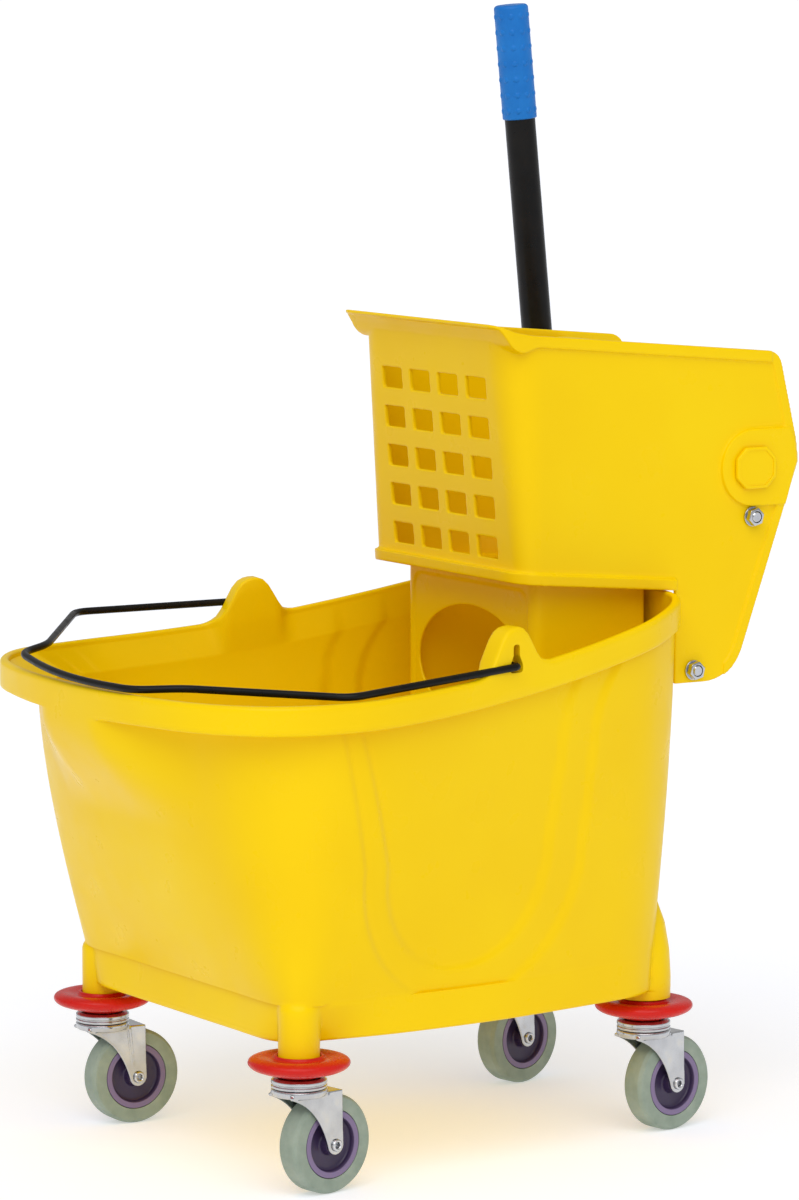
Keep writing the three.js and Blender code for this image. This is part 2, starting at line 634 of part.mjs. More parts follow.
// ---------------------------------------------------------------- press plate and its drive
const centreDistance = Math.hypot(SHAFT.y - HINGE.y, SHAFT.z - HINGE.z);
const meshAngle = THREE.MathUtils.radToDeg(Math.atan2(SHAFT.z - HINGE.z, SHAFT.y - HINGE.y));
const rackPitch = centreDistance - GEAR.pinionPitch;
const toothPitch = 2 * Math.PI * GEAR.pinionPitch / GEAR.teeth;

// Half-widths of a tooth at its root, pitch line and tip.
function toothHalfWidths() {
  const middle = toothPitch / 4 - GEAR.backlash / 2;
  return { root: middle + GEAR.dedendum * 0.42, middle, tip: middle - GEAR.addendum * 0.42 };
}

// One gear tooth on a circle: [radius, angle] pairs turned into points, angles in degrees.
function toothPoints(cx, cy, pitchRadius, angle) {
  const { root, middle, tip } = toothHalfWidths();
  const radii = [pitchRadius - GEAR.dedendum, pitchRadius, pitchRadius + GEAR.addendum];
  const widths = [root, middle, tip];
  const at = (radius, offset) => {
    const turn = THREE.MathUtils.degToRad(angle) + offset / radius;
    return [cx + radius * Math.cos(turn), cy + radius * Math.sin(turn)];
  };
  const rising = radii.map((radius, i) => at(radius, -widths[i]));
  const falling = radii.map((radius, i) => at(radius, widths[i])).reverse();
  return [...rising, ...falling];
}

function pinionSolid() {
  const step = 360 / GEAR.teeth;
  const outline = Array.from({ length: GEAR.teeth }, (_, i) =>
    toothPoints(SHAFT.y, SHAFT.z, GEAR.pinionPitch, meshAngle + 180 + i * step)).flat();
  const wheel = slabX(outline, GEAR.x, GEAR.x + GEAR.width);
  return wheel.subtract(alongX(rod(SHAFT.radius + GAP, 60, 120), SHAFT.y, SHAFT.z));
}

// A curved rack, struck from the hinge, that runs between the pinion and the upper tie rod.
function rackSolid(x) {
  const step = THREE.MathUtils.radToDeg(toothPitch / rackPitch);
  const first = meshAngle - (RACK.behind - 0.5) * step;
  const teeth = Array.from({ length: RACK.ahead + RACK.behind }, (_, i) =>
    toothPoints(HINGE.y, HINGE.z, rackPitch, first + i * step)).flat();
  const startAngle = first - step * 0.35;
  const rootRadius = rackPitch - GEAR.dedendum;
  const outline = [
    ...teeth,
    ...arc(HINGE.y, HINGE.z, rootRadius, first + (RACK.ahead + RACK.behind - 0.4) * step, RACK.plateAngle, 2),
    ...arc(HINGE.y, HINGE.z, RACK.inner, RACK.plateAngle, startAngle, 8),
  ];
  return slabX(outline, x, x + GEAR.width);
}

function platePlaced(solid) {
  return solid.rotate([-PLATE.tilt, 0, 0]).translate([0, HINGE.y, HINGE.z]);
}

function pressPlateSolid() {
  const { half, low, high, skin, depth, armWidth, barrel, ribHalf } = PLATE;
  const tray = block(-half, half, -skin, depth - skin, low, high)
    .subtract(block(skin - half, half - skin, 0, depth, low + skin, high - skin));
  const ribs = PLATE.ribs.map((x) =>
    block(x - ribHalf, x + ribHalf, -1, depth - skin, low + 2, high - 2));
  const crossRibs = PLATE.crossRibs.map((h) =>
    block(2 - half, half - 2, -1, depth - skin, h - ribHalf, h + ribHalf));
  const arms = [-1, 1].map((side) => {
    const x = side * (GEAR.x + GEAR.width / 2);
    return block(x - armWidth / 2, x + armWidth / 2, -skin, 6, 0, low + 2)
      .add(alongX(rod(barrel, x - armWidth / 2, x + armWidth / 2), 0, 0));
  });
  const plate = platePlaced(union([tray, ...ribs, ...crossRibs, ...arms]));
  const racks = [rackSolid(GEAR.x), rackSolid(-GEAR.x - GEAR.width)];
  const hingeBore = alongX(rod(TIE.radius + GAP, -FAR.side, FAR.side, 12), HINGE.y, HINGE.z);
  return union([plate, ...racks]).subtract(hingeBore);
}

function hexagon(width, y, z) {
  return arc(y, z, width / Math.sqrt(3), 15, 315, 5);
}

// A tie bolt across the casing with its head on the far side; the nut is a piece of its own.
function tieBolt({ y, z }) {
  const face = BOX.half + GAP;
  return alongX(rod(TIE.radius, -face - 1, TIE.reach, 12), y, z)
    .add(slabX(hexagon(TIE.headWidth, y, z), -face - TIE.headHeight, -face));
}

function tieNut({ y, z }, face) {
  const nut = slabX(hexagon(TIE.headWidth, y, z), face, face + TIE.nutHeight)
    .add(alongX(rod(TIE.washer, face, face + TIE.washerThick, 16), y, z));
  return nut.subtract(alongX(rod(TIE.radius + GAP, 90, 140, 12), y, z));
}

function capSolid() {
  const x = BOX.half + BOSS.raise + GAP;
  const [w, h, c] = [CAP.width / 2, CAP.height / 2, CAP.chamfer];
  const octagon = [
    [w, -h + c], [w, h - c], [w - c, h], [c - w, h], [-w, h - c], [-w, c - h], [c - w, -h], [w - c, -h],
  ].map(([a, b]) => [SHAFT.y + a, SHAFT.z + b]);
  return slabX(octagon, x, x + CAP.thick);
}

// ---------------------------------------------------------------- lever
function leverPlaced(solid) {
  return solid.rotate([LEVER.lean, 0, 0]).translate([LEVER.x, LEVER.y, LEVER.z]);
}

function leverTube() {
  const slant = Math.cos(THREE.MathUtils.degToRad(LEVER.lean));
  const low = (LEVER.bottom - LEVER.z) / slant;
  const high = (LEVER.top - LEVER.z) / slant;
  const hollow = rod(LEVER.radius - LEVER.wall, low - 5, high + 5, 12);
  return leverPlaced(rod(LEVER.radius, low, high, 20).subtract(hollow));
}

function leverGrip() {
  const slant = Math.cos(THREE.MathUtils.degToRad(LEVER.lean));
  const top = (LEVER.gripTop - LEVER.z) / slant - 1.4;
  const bore = LEVER.radius + GAP;
  return leverPlaced(turned([
    [0, top - 2.5], [bore, top - 2.5], [bore, top - LEVER.gripLength],
    [LEVER.gripRadius, top - LEVER.gripLength], [LEVER.gripRadius, top - 2.5],
    [LEVER.gripRadius - 2.5, top], [0, top],
  ], 20));
}

// A casting that clamps the tube beside the shaft: hub, web and sleeve.
function leverSocket() {
  const { hub, sleeve, low, high, near, farX } = SOCKET;
  const slant = Math.cos(THREE.MathUtils.degToRad(LEVER.lean));
  const barrel = leverPlaced(rod(sleeve, (low - LEVER.z) / slant, (high - LEVER.z) / slant, 20));
  const bore = leverPlaced(rod(LEVER.radius + GAP, (low + 3 - GAP - LEVER.z) / slant, 10, 20));
  const boss = alongX(rod(hub, farX, near, 20), SHAFT.y, SHAFT.z);
  const web = slabX([
    [SHAFT.y, SHAFT.z - hub + 1], [SHAFT.y, SHAFT.z + hub - 1], [240, 575], [246, 504],
  ].reverse(), farX + 4, near - 6);
  const shaftBore = alongX(rod(SHAFT.radius + GAP, SHAFT.far - GAP, near + 5), SHAFT.y, SHAFT.z);
  return union([barrel, boss, web]).subtract(bore).subtract(shaftBore);
}

// ---------------------------------------------------------------- assembly
addMesh(group, 'bucket_tub', tubSolid(), 'yellow');
CASTERS.forEach(addCaster);
addMesh(group, 'bail_handle', bailSolid(), 'black');

addMesh(group, 'wringer_casing', casingSolid(), 'yellow');
addMesh(group, 'press_plate', pressPlateSolid(), 'yellow');
addMesh(group, 'upper_tie_bolt', tieBolt(UPPER_TIE), 'zinc');
addMesh(group, 'upper_tie_nut', tieNut(UPPER_TIE, BOX.half + GAP), 'zinc');
addMesh(group, 'plate_hinge_bolt', tieBolt(HINGE), 'zinc');
addMesh(group, 'plate_hinge_nut', tieNut(HINGE, BOX.half + GAP), 'zinc');

const shaftRod = rod(SHAFT.radius, SHAFT.far, BOX.half + BOSS.raise);
addMesh(group, 'cross_shaft', alongX(shaftRod, SHAFT.y, SHAFT.z), 'steel');
addMesh(group, 'drive_pinion_near', pinionSolid(), 'dark');
addMesh(group, 'drive_pinion_far', pinionSolid().mirror([1, 0, 0]), 'dark');
addMesh(group, 'shaft_cap', capSolid(), 'yellow');
addMesh(group, 'lever_socket', leverSocket(), 'black');
addMesh(group, 'lever_tube', leverTube(), 'black');
addMesh(group, 'lever_grip', leverGrip(), 'blue');

group.position.y = -ORIGIN_Y;

export default group;
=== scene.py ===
import json
import math

import bmesh
import bpy
import numpy as np
from mathutils import Matrix, Vector


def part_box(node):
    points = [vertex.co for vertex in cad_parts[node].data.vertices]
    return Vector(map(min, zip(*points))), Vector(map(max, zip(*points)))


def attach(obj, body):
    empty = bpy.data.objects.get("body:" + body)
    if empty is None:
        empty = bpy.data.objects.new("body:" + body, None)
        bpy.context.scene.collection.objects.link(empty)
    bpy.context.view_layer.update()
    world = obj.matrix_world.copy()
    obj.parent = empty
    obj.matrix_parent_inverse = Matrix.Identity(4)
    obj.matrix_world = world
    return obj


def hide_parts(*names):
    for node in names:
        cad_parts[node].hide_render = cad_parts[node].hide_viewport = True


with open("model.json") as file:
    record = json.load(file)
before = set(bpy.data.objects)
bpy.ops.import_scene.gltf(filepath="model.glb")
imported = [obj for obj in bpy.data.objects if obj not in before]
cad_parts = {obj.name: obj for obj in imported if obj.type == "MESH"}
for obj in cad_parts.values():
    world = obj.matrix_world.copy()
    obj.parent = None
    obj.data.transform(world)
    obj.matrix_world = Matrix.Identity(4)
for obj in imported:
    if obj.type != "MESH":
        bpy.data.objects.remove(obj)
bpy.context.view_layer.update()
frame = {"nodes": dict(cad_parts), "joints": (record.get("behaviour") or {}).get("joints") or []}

# Shapes are drawn in millimetres in the design's own plan. make_mesh() turns them into metres in
# the row frame.
MM = 0.001
JOINTS = {joint["name"]: joint for joint in frame["joints"]}
TAGS = ("front_near", "front_far", "rear_near", "rear_far")


def middle(node):
    low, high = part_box(node)
    return (low + high) / 2


# The design's plan is drawn from a line 1 mm ahead of the middle of the casters.
STEMS = {tag: middle(f"caster_stem_{tag}") / MM for tag in TAGS}
DATUM_Y = (STEMS["front_near"].y + STEMS["rear_near"].y) / 2 - 1.0


def plan_point(pos_m):
    """A point of the row frame, in metres, in the design's own plan."""
    return Vector((pos_m[0] / MM, pos_m[1] / MM - DATUM_Y, pos_m[2] / MM))


SHAFT = plan_point(JOINTS["lever_swing"]["pos_m"])
HINGE = plan_point(JOINTS["press_plate_swing"]["pos_m"])
UPPER_TIE = plan_point(middle("upper_tie_nut"))


# ---------- mesh helpers
def add_object(name, data):
    obj = bpy.data.objects.new(name, data)
    bpy.context.scene.collection.objects.link(obj)
    return obj


def make_mesh(name, points, faces, local=False):
    """An object from points in millimetres. A local one is drawn round its own origin and placed later."""
    points = np.asarray(points, float).copy()
    if not local:
        points[:, 1] += DATUM_Y
    mesh = bpy.data.meshes.new(name)
    mesh.from_pydata([tuple(p) for p in points * MM], [], faces)
    tidy = bmesh.new()
    tidy.from_mesh(mesh)
    bmesh.ops.remove_doubles(tidy, verts=tidy.verts, dist=1e-7)
    bmesh.ops.recalc_face_normals(tidy, faces=tidy.faces)
    tidy.to_mesh(mesh)
    tidy.free()
    return add_object(name, mesh)


def baked(obj):
    """Applies the object's modifiers to its mesh."""
    graph = bpy.context.evaluated_depsgraph_get()
    mesh = bpy.data.meshes.new_from_object(obj.evaluated_get(graph))
    obj.modifiers.clear()
    obj.data = mesh
    return obj


def combine(obj, other, operation):
    """Joins, cuts or intersects obj with another solid, which is used up."""
    step = obj.modifiers.new("combine", "BOOLEAN")
    step.object = other
    step.operation = operation
    step.solver = "MANIFOLD"
    baked(obj)
    bpy.data.objects.remove(other)
    return obj


def join(obj, *others):
    for other in others:
        combine(obj, other, "UNION")
    return obj


def cut(obj, *others):
    for other in others:
        combine(obj, other, "DIFFERENCE")
    return obj


# A face whose normal is this near to upright is level.
LEVEL = 0.99999


def shade(obj, sharp_degrees=38):
    """Smooth shading, but flat on level faces and with a hard edge wherever the surface turns sharply."""
    edges = bmesh.new()
    edges.from_mesh(obj.data)
    for edge in edges.edges:
        edge.smooth = len(edge.link_faces) != 2 or edge.calc_face_angle(0) < math.radians(sharp_degrees)
    for face in edges.faces:
        face.smooth = abs(face.normal.z) < LEVEL
    edges.to_mesh(obj.data)
    edges.free()
    return obj


def moulded(obj, voxel_mm, passes):
    """Melts a joined solid into one skin with softly rounded edges, as a moulding or a casting has."""
    coarse = 1.0
    skin = obj.modifiers.new("skin", "REMESH")
    skin.mode = "VOXEL"
    skin.voxel_size = voxel_mm * MM * coarse
    skin.use_smooth_shade = True
    soften = obj.modifiers.new("soften", "SMOOTH")
    soften.factor = 0.5
    soften.iterations = passes
    return baked(obj)


def bevelled(obj, width_mm, segments=3, degrees=30):
    edge = obj.modifiers.new("bevel", "BEVEL")
    edge.width = width_mm * MM
    edge.segments = segments
    edge.limit_method = "ANGLE"
    edge.angle_limit = math.radians(degrees)
    return baked(obj)


def loft(name, rings, local=False):
    """A closed skin through rings that all have the same number of points, closed at both ends."""
    count = len(rings[0])
    faces = []
    for level in range(len(rings) - 1):
        for i in range(count):
            a = level * count + i
            b = level * count + (i + 1) % count
            faces.append((a, b, b + count, a + count))
    faces.append(tuple(reversed(range(count))))
    faces.append(tuple(range((len(rings) - 1) * count, len(rings) * count)))
    return make_mesh(name, np.concatenate(rings), faces, local)


def ring_z(outline, z):
    outline = np.asarray(outline, float)
    return np.column_stack([outline, np.full(len(outline), z) if np.isscalar(z) else z])


def prism_x(name, points, x0, x1, local=False):
    """[y, z] points stretched along X."""
    flat = np.asarray(points, float)
    ends = [np.column_stack([np.full(len(flat), x), flat]) for x in (x0, x1)]
    return loft(name, ends, local)


def prism_z(name, points, z0, z1, bend=None, local=False):
    """[x, y] points stretched along Z, with each point's y changed by a rule of y and z if given."""
    ends = [ring_z(points, z) for z in (z0, z1)]
    if bend:
        for end in ends:
            end[:, 1] = [bend(y, z) for y, z in end[:, 1:]]
    return loft(name, ends, local)


def block(name, x0, x1, y0, y1, z0, z1, local=False):
    return prism_z(name, [(x0, y0), (x1, y0), (x1, y1), (x0, y1)], z0, z1, local=local)


def lathe(name, profile, sides=96, local=True, closed=False):
    """A [radius, z] profile turned about Z: a ring if it is closed, or else a solid that meets the axis."""
    turns = [2 * math.pi * i / sides for i in range(sides)]
    points = [(r * math.cos(a), r * math.sin(a), z) for r, z in profile for a in turns]
    faces = []
    levels = len(profile)
    for level in range(levels if closed else levels - 1):
        for i in range(sides):
            a = level * sides + i
            b = level * sides + (i + 1) % sides
            up = ((level + 1) % levels - level) * sides
            faces.append((a, b, b + up, a + up))
    return make_mesh(name, points, faces, local)


def arc(cx, cy, radius, start, end, steps):
    angles = np.radians(np.linspace(start, end, steps + 1))
    return [(cx + radius * math.cos(a), cy + radius * math.sin(a)) for a in angles]


def bent(start, corner, end, steps):
    """A soft bend from start to end, drawn towards a corner."""
    shares = np.linspace(0, 1, steps + 1)
    return [start * (1 - t) ** 2 + corner * 2 * t * (1 - t) + end * t * t for t in shares]


def rounded(corners, steps=12):
    """A polygon with each corner rounded: corners are (x, y) or (x, y, radius)."""
    points = []
    for i, corner in enumerate(corners):
        here = Vector(corner[:2])
        if len(corner) == 2 or not corner[2]:
            points.append(tuple(here))
            continue
        before = (Vector(corners[i - 1][:2]) - here).normalized()
        after = (Vector(corners[(i + 1) % len(corners)][:2]) - here).normalized()
        reach = corner[2] / math.tan(before.angle(after) / 2)
        points += [tuple(p) for p in bent(here + before * reach, here, here + after * reach, steps)]
    return points


def curve_through(points, steps):
    """A smooth open curve through points, as a list."""
    p = np.asarray(points, float)
    p = np.vstack([2 * p[0] - p[1], p, 2 * p[-1] - p[-2]])
    out = [catmull(p[i - 1], p[i], p[i + 1], p[i + 2], k / steps)
           for i in range(1, len(p) - 2) for k in range(steps)]
    return [tuple(q) for q in out] + [tuple(p[-2])]


def catmull(a, b, c, d, t):
    """The point at share t between b and c of a smooth curve through all four."""
    return 0.5 * (2 * b + (c - a) * t + (2 * a - 5 * b + 4 * c - d) * t ** 2
                  + (3 * b - a - 3 * c + d) * t ** 3)


def along_x(obj, y, z, x=0.0, local=False):
    """Lays a piece drawn along Z along X instead, at a height and depth."""
    place = Vector((x, y + (0.0 if local else DATUM_Y), z)) * MM
    obj.data.transform(Matrix.Translation(place) @ Matrix.Rotation(math.pi / 2, 4, "Y"))
    return obj


def rod_z(name, radius, z0, z1, sides=96):
    return lathe(name, [(0, z0), (radius, z0), (radius, z1), (0, z1)], sides)


def rod_x(name, radius, x0, x1, y, z, sides=64):
    return along_x(rod_z(name, radius, x0, x1, sides), y, z)


def smoothstep(x, low, high):
    t = np.clip((np.asarray(x, float) - low) / (high - low), 0, 1)
    return t * t * (3 - 2 * t)


# ---------- materials
def new_material(name, base, roughness, metallic=0.0, **sockets):
    material = bpy.data.materials.new(name)
    material.use_nodes = True
    shader = material.node_tree.nodes["Principled BSDF"]
    shader.inputs["Base Color"].default_value = (*base, 1)
    shader.inputs["Roughness"].default_value = roughness
    shader.inputs["Metallic"].default_value = metallic
    for socket, value in sockets.items():
        shader.inputs[socket.replace("_", " ")].default_value = value
    return material, material.node_tree, shader


def noise(tree, scale, detail=4.0, stretch=(1, 1, 1)):
    """Noise in the piece's own coordinates, which stays with it when it moves."""
    place = tree.nodes.new("ShaderNodeTexCoord")
    mapping = tree.nodes.new("ShaderNodeMapping")
    mapping.inputs["Scale"].default_value = stretch
    texture = tree.nodes.new("ShaderNodeTexNoise")
    texture.inputs["Scale"].default_value = scale
    texture.inputs["Detail"].default_value = detail
    tree.links.new(place.outputs["Object"], mapping.inputs["Vector"])
    tree.links.new(mapping.outputs["Vector"], texture.inputs["Vector"])
    return texture.outputs["Fac"]


def vary_colour(tree, shader, factor, stops):
    node = tree.nodes.new("ShaderNodeValToRGB")
    while len(node.color_ramp.elements) < len(stops):
        node.color_ramp.elements.new(0.5)
    for element, (place, colour) in zip(node.color_ramp.elements, stops):
        element.position = place
        element.color = (*colour, 1)
    tree.links.new(factor, node.inputs["Fac"])
    tree.links.new(node.outputs["Color"], shader.inputs["Base Color"])


def vary_roughness(tree, shader, factor, low, high):
    spread = tree.nodes.new("ShaderNodeMapRange")
    spread.inputs["From Min"].default_value = 0.3
    spread.inputs["From Max"].default_value = 0.7
    spread.inputs["To Min"].default_value = low
    spread.inputs["To Max"].default_value = high
    tree.links.new(factor, spread.inputs["Value"])
    tree.links.new(spread.outputs["Result"], shader.inputs["Roughness"])


def add_bump(tree, shader, factor, strength, distance_mm):
    bump = tree.nodes.new("ShaderNodeBump")
    bump.inputs["Strength"].default_value = strength
    bump.inputs["Distance"].default_value = distance_mm * MM
    tree.links.new(factor, bump.inputs["Height"])
    previous = shader.inputs["Normal"].links
    if previous:
        tree.links.new(previous[0].from_socket, bump.inputs["Normal"])
    tree.links.new(bump.outputs["Normal"], shader.inputs["Normal"])


def detailed(made, colours, rubbed, *grains):
    """Mottles a new material's colour, makes its roughness uneven and grains its surface.

    Each takes the arguments of its noise first, then its colour stops, its lowest and highest
    roughness, or its strength and depth in mm.
    """
    material, tree, shader = made
    cloud, stops = colours
    vary_colour(tree, shader, noise(tree, *cloud), stops)
    patches, low, high = rubbed
    vary_roughness(tree, shader, noise(tree, *patches), low, high)
    for grain, strength, depth_mm in grains:
        add_bump(tree, shader, noise(tree, *grain), strength, depth_mm)
    return material


def yellow_plastic():
    """Moulded polypropylene: slow thickness clouding, a faint orange peel and dull rubbed patches."""
    base = (0.93, 0.625, 0.0)
    made = new_material("yellow_plastic", base, 0.3, Specular_IOR_Level=0.12)
    stops = [(0.30, (0.91, 0.595, 0.0)), (0.55, base), (0.78, (0.94, 0.650, 0.001))]
    return detailed(made, ([7.0, 3.0], stops), ([34.0, 6.0], 0.25, 0.40),
                    ([420.0, 2.0], 0.06, 0.10), ([18.0, 2.0], 0.10, 0.5))


def red_vinyl():
    made = new_material("red_vinyl", (0.60, 0.012, 0.008), 0.28, Specular_IOR_Level=0.20)
    stops = [(0.3, (0.53, 0.009, 0.006)), (0.7, (0.65, 0.016, 0.010))]
    return detailed(made, ([26.0], stops), ([90.0, 5.0], 0.20, 0.34), ([600.0, 2.0], 0.12, 0.08))


def black_coat(name, fine):
    """Powder coat on steel: black, with a pebbled skin."""
    made = new_material(name, (0.006, 0.006, 0.006), 0.28, Specular_IOR_Level=0.16)
    stops = [(0.3, (0.004, 0.004, 0.004)), (0.7, (0.009, 0.008, 0.007))]
    return detailed(made, ([60.0], stops), ([120.0, 5.0], 0.24, 0.42), ([fine, 2.0], 0.18, 0.08))


def blue_grip():
    made = new_material("blue_grip", (0.006, 0.175, 0.57), 0.42, Specular_IOR_Level=0.25)
    stops = [(0.3, (0.004, 0.155, 0.53)), (0.7, (0.010, 0.195, 0.61))]
    return detailed(made, ([45.0], stops), ([150.0, 5.0], 0.36, 0.52), ([900.0, 2.0], 0.18, 0.06))


def zinc_plate():
    """Bright zinc: cloudy plating with fine drawing marks and a slight straw tint."""
    base = (0.56, 0.57, 0.58)
    stops = [(0.32, (0.46, 0.47, 0.49)), (0.6, base), (0.80, (0.64, 0.62, 0.56))]
    return detailed(new_material("zinc_plate", base, 0.18, 1.0), ([55.0], stops),
                    ([140.0, 6.0], 0.10, 0.24), ([300.0, 3.0, (1, 1, 0.08)], 0.12, 0.05))


def bright_steel():
    stops = [(0.3, (0.52, 0.53, 0.55)), (0.7, (0.66, 0.67, 0.69))]
    along_bar = (0.05, 1, 1)
    return detailed(new_material("bright_steel", (0.60, 0.61, 0.63), 0.25, 1.0), ([80.0], stops),
                    ([200.0, 6.0, along_bar], 0.18, 0.34), ([500.0, 3.0, along_bar], 0.15, 0.04))


def grey_tyre():
    """Non-marking rubber: chalky, mottled and slightly scuffed."""
    stops = [(0.3, (0.225, 0.285, 0.225)), (0.7, (0.315, 0.375, 0.300))]
    return detailed(new_material("grey_tyre", (0.27, 0.335, 0.265), 0.6), ([70.0, 6.0], stops),
                    ([160.0, 6.0], 0.50, 0.72), ([800.0, 4.0], 0.25, 0.08))


def purple_hub(flange_mm):
    """Dark purple dish with a lilac flange: the colour goes by the distance from the axle."""
    material, tree, shader = new_material("purple_hub", (0.06, 0.035, 0.10), 0.35)
    place = tree.nodes.new("ShaderNodeTexCoord")
    flat = tree.nodes.new("ShaderNodeVectorMath")
    flat.operation = "MULTIPLY"
    flat.inputs[1].default_value = (0, 1, 1)
    reach = tree.nodes.new("ShaderNodeVectorMath")
    reach.operation = "LENGTH"
    spread = tree.nodes.new("ShaderNodeMapRange")
    spread.inputs["From Max"].default_value = 2 * flange_mm * MM
    tree.links.new(place.outputs["Object"], flat.inputs[0])
    tree.links.new(flat.outputs["Vector"], reach.inputs[0])
    tree.links.new(reach.outputs["Value"], spread.inputs["Value"])
    dish, lilac = (0.035, 0.020, 0.065), (0.20, 0.145, 0.27)
    vary_colour(tree, shader, spread.outputs["Result"], [
        (0.0, dish), (0.475, dish), (0.50, lilac), (1.0, lilac)])
    vary_roughness(tree, shader, noise(tree, 130.0, 5.0), 0.28, 0.45)
    add_bump(tree, shader, noise(tree, 500.0, 2.0), 0.15, 0.06)
    return material


def dark_gear():
    stops = [(0.3, (0.022, 0.022, 0.024)), (0.7, (0.045, 0.045, 0.048))]
    return detailed(new_material("dark_gear", (0.03, 0.03, 0.033), 0.5), ([220.0, 5.0], stops),
                    ([180.0, 5.0], 0.42, 0.62), ([700.0, 3.0], 0.25, 0.06))


HUB_FLANGE = 22.0
MATERIALS = {
    "yellow_plastic": yellow_plastic(),
    "red_vinyl": red_vinyl(),
    "black_wire": black_coat("black_wire", 1200.0),
    "black_tube": black_coat("black_tube", 700.0),
    "blue_grip": blue_grip(),
    "zinc_plate": zinc_plate(),
    "bright_steel": bright_steel(),
    "grey_tyre": grey_tyre(),
    "purple_hub": purple_hub(HUB_FLANGE),
    "dark_gear": dark_gear(),
}


def wear(obj, slot):
    obj.data.materials.clear()
    obj.data.materials.append(MATERIALS[slot])


def install(obj, slot, body, *nodes):
    """Gives a finished piece its material and its body, and lets it stand for its CAD nodes."""
    wear(obj, slot)
    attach(obj, body)
    if nodes:
        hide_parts(*nodes)
    return obj


# ---------- camera and studio
CAMERA_PLACE = (3.5729, -2.2755, 0.9395)
CAMERA_YAW, CAMERA_PITCH = math.radians(57.52), math.radians(6.933)
CAMERA_LENS, CAMERA_SENSOR = 163.34, 36.0


def make_camera():
    data = bpy.data.cameras.new("camera")
    data.sensor_fit = "VERTICAL"
    data.sensor_height = CAMERA_SENSOR
    data.lens = CAMERA_LENS
    camera = add_object("camera", data)
    look = Vector((
        -math.sin(CAMERA_YAW) * math.cos(CAMERA_PITCH),
        math.cos(CAMERA_YAW) * math.cos(CAMERA_PITCH),
        -math.sin(CAMERA_PITCH)))
    camera.location = CAMERA_PLACE
    camera.rotation_euler = look.to_track_quat("-Z", "Y").to_euler()
    bpy.context.scene.camera = camera


def make_sun(name, toward, strength, spread_degrees):
    """A broad soft light from one direction, as a large softbox gives."""
    data = bpy.data.lights.new(name, "SUN")
    data.energy = strength
    data.angle = math.radians(spread_degrees)
    light = add_object(name, data)
    light.rotation_euler = (-Vector(toward)).to_track_quat("-Z", "Y").to_euler()


FLOOR_HALF = 400.0
# The floor leans to blue where it is lit and to yellow where it glows, which cancels the tub's warm
# bounce.
FLOOR_WHITE, FLOOR_TINT, FLOOR_GLOW = (0.72, 0.745, 0.83), (1.0, 0.98, 0.93, 1.0), 0.41
SKY = 0.48
# Where each light comes from, its strength, and how many degrees of sky it fills.
KEY_LIGHT = ((0.24, -0.74, 1.0), 0.40, 45)
FILL_LIGHT = ((0.84, -0.45, 0.95), 1.25, 55)


def make_floor():
    """A pale sweep that glows a little, so that it stays white round the object."""
    half = FLOOR_HALF
    corners = [(-half, -half, 0), (half, -half, 0), (half, half, 0), (-half, half, 0)]
    mesh = bpy.data.meshes.new("floor")
    mesh.from_pydata(corners, [], [(0, 1, 2, 3)])
    floor = add_object("floor", mesh)
    material, _, shader = new_material("floor", FLOOR_WHITE, 0.7, Specular_IOR_Level=0.0)
    shader.inputs["Emission Color"].default_value = FLOOR_TINT
    shader.inputs["Emission Strength"].default_value = FLOOR_GLOW
    floor.data.materials.append(material)


def make_studio():
    make_floor()
    world = bpy.data.worlds.new("studio")
    world.use_nodes = True
    sky = world.node_tree.nodes["Background"]
    sky.inputs["Color"].default_value = (1, 1, 1, 1)
    sky.inputs["Strength"].default_value = SKY
    scene = bpy.context.scene
    scene.world = world
    scene.view_settings.view_transform = "Standard"
    make_sun("key", *KEY_LIGHT)
    make_sun("fill", *FILL_LIGHT)


# ---------- tub
STEPS = 22
WALL = 3.5
TUB_BOTTOM, TUB_FLOOR, CREASE = 117.0, 121.0, 147.0
POST_BOTTOM, BUMPER_TOP = 107.0, 109.5
LIP_HEIGHT, LIP_WIDTH, LIP_DROP, LIP_ROUND = 24.0, 7.0, 22.0, 3.5
# The wall runs out into the rim in the middle of the pouring edge, from this share of its height.
POUR_FROM, POUR_HALF, POUR_END = 0.6, 30.0, 120.0
RIM_FRONT, RIM_RISE, RIM_START = 381.0, 3.2e-4, -200.0
# Right halves of four plan outlines, from the middle of the front to the middle of the rear.
BASE = [(0, -188), (75, -188), (128, -187), (149, -172), (153, -150), (160, -90),
        (159, 0), (148, 90), (136, 150), (112, 174), (60, 178), (0, 179)]
SKIRT_TOP = [(0, -188.5), (80, -188.5), (140, -188), (163, -176), (164, -145), (162, -90),
             (160, 0), (149, 90), (137, 150), (113, 175), (60, 179), (0, 180)]
WALL_TOP = [(0, -252), (80, -248), (150, -228), (190, -190), (204, -145), (203, -90),
            (189, 0), (173, 90), (157, 150), (124, 188), (60, 196), (0, 197)]
RIM = [(0, -286), (80, -281), (150, -262), (198, -222), (216, -160), (213, -95),
       (197, 0), (181, 90), (164, 150), (128, 191), (60, 198.5), (0, 199.5)]
EAR_Y, EAR_PEAK, EAR_FOOT, EAR_WIDTH, KEYHOLE_END = -9.0, 425.4, 40.0, 15.5, 185.5
# The two nested U shapes pressed in each side: middle y, half-width, middle z, depth below it, how
# the front and rear arms spread per mm above it, and where and how sharply the rear arm flares.
U_PANELS = [(-38, 78, 250, 87, 0.30, 0.12, 350, 0.011), (-32, 106, 250, 113, 0.24, 0.08, 335, 0.0075)]
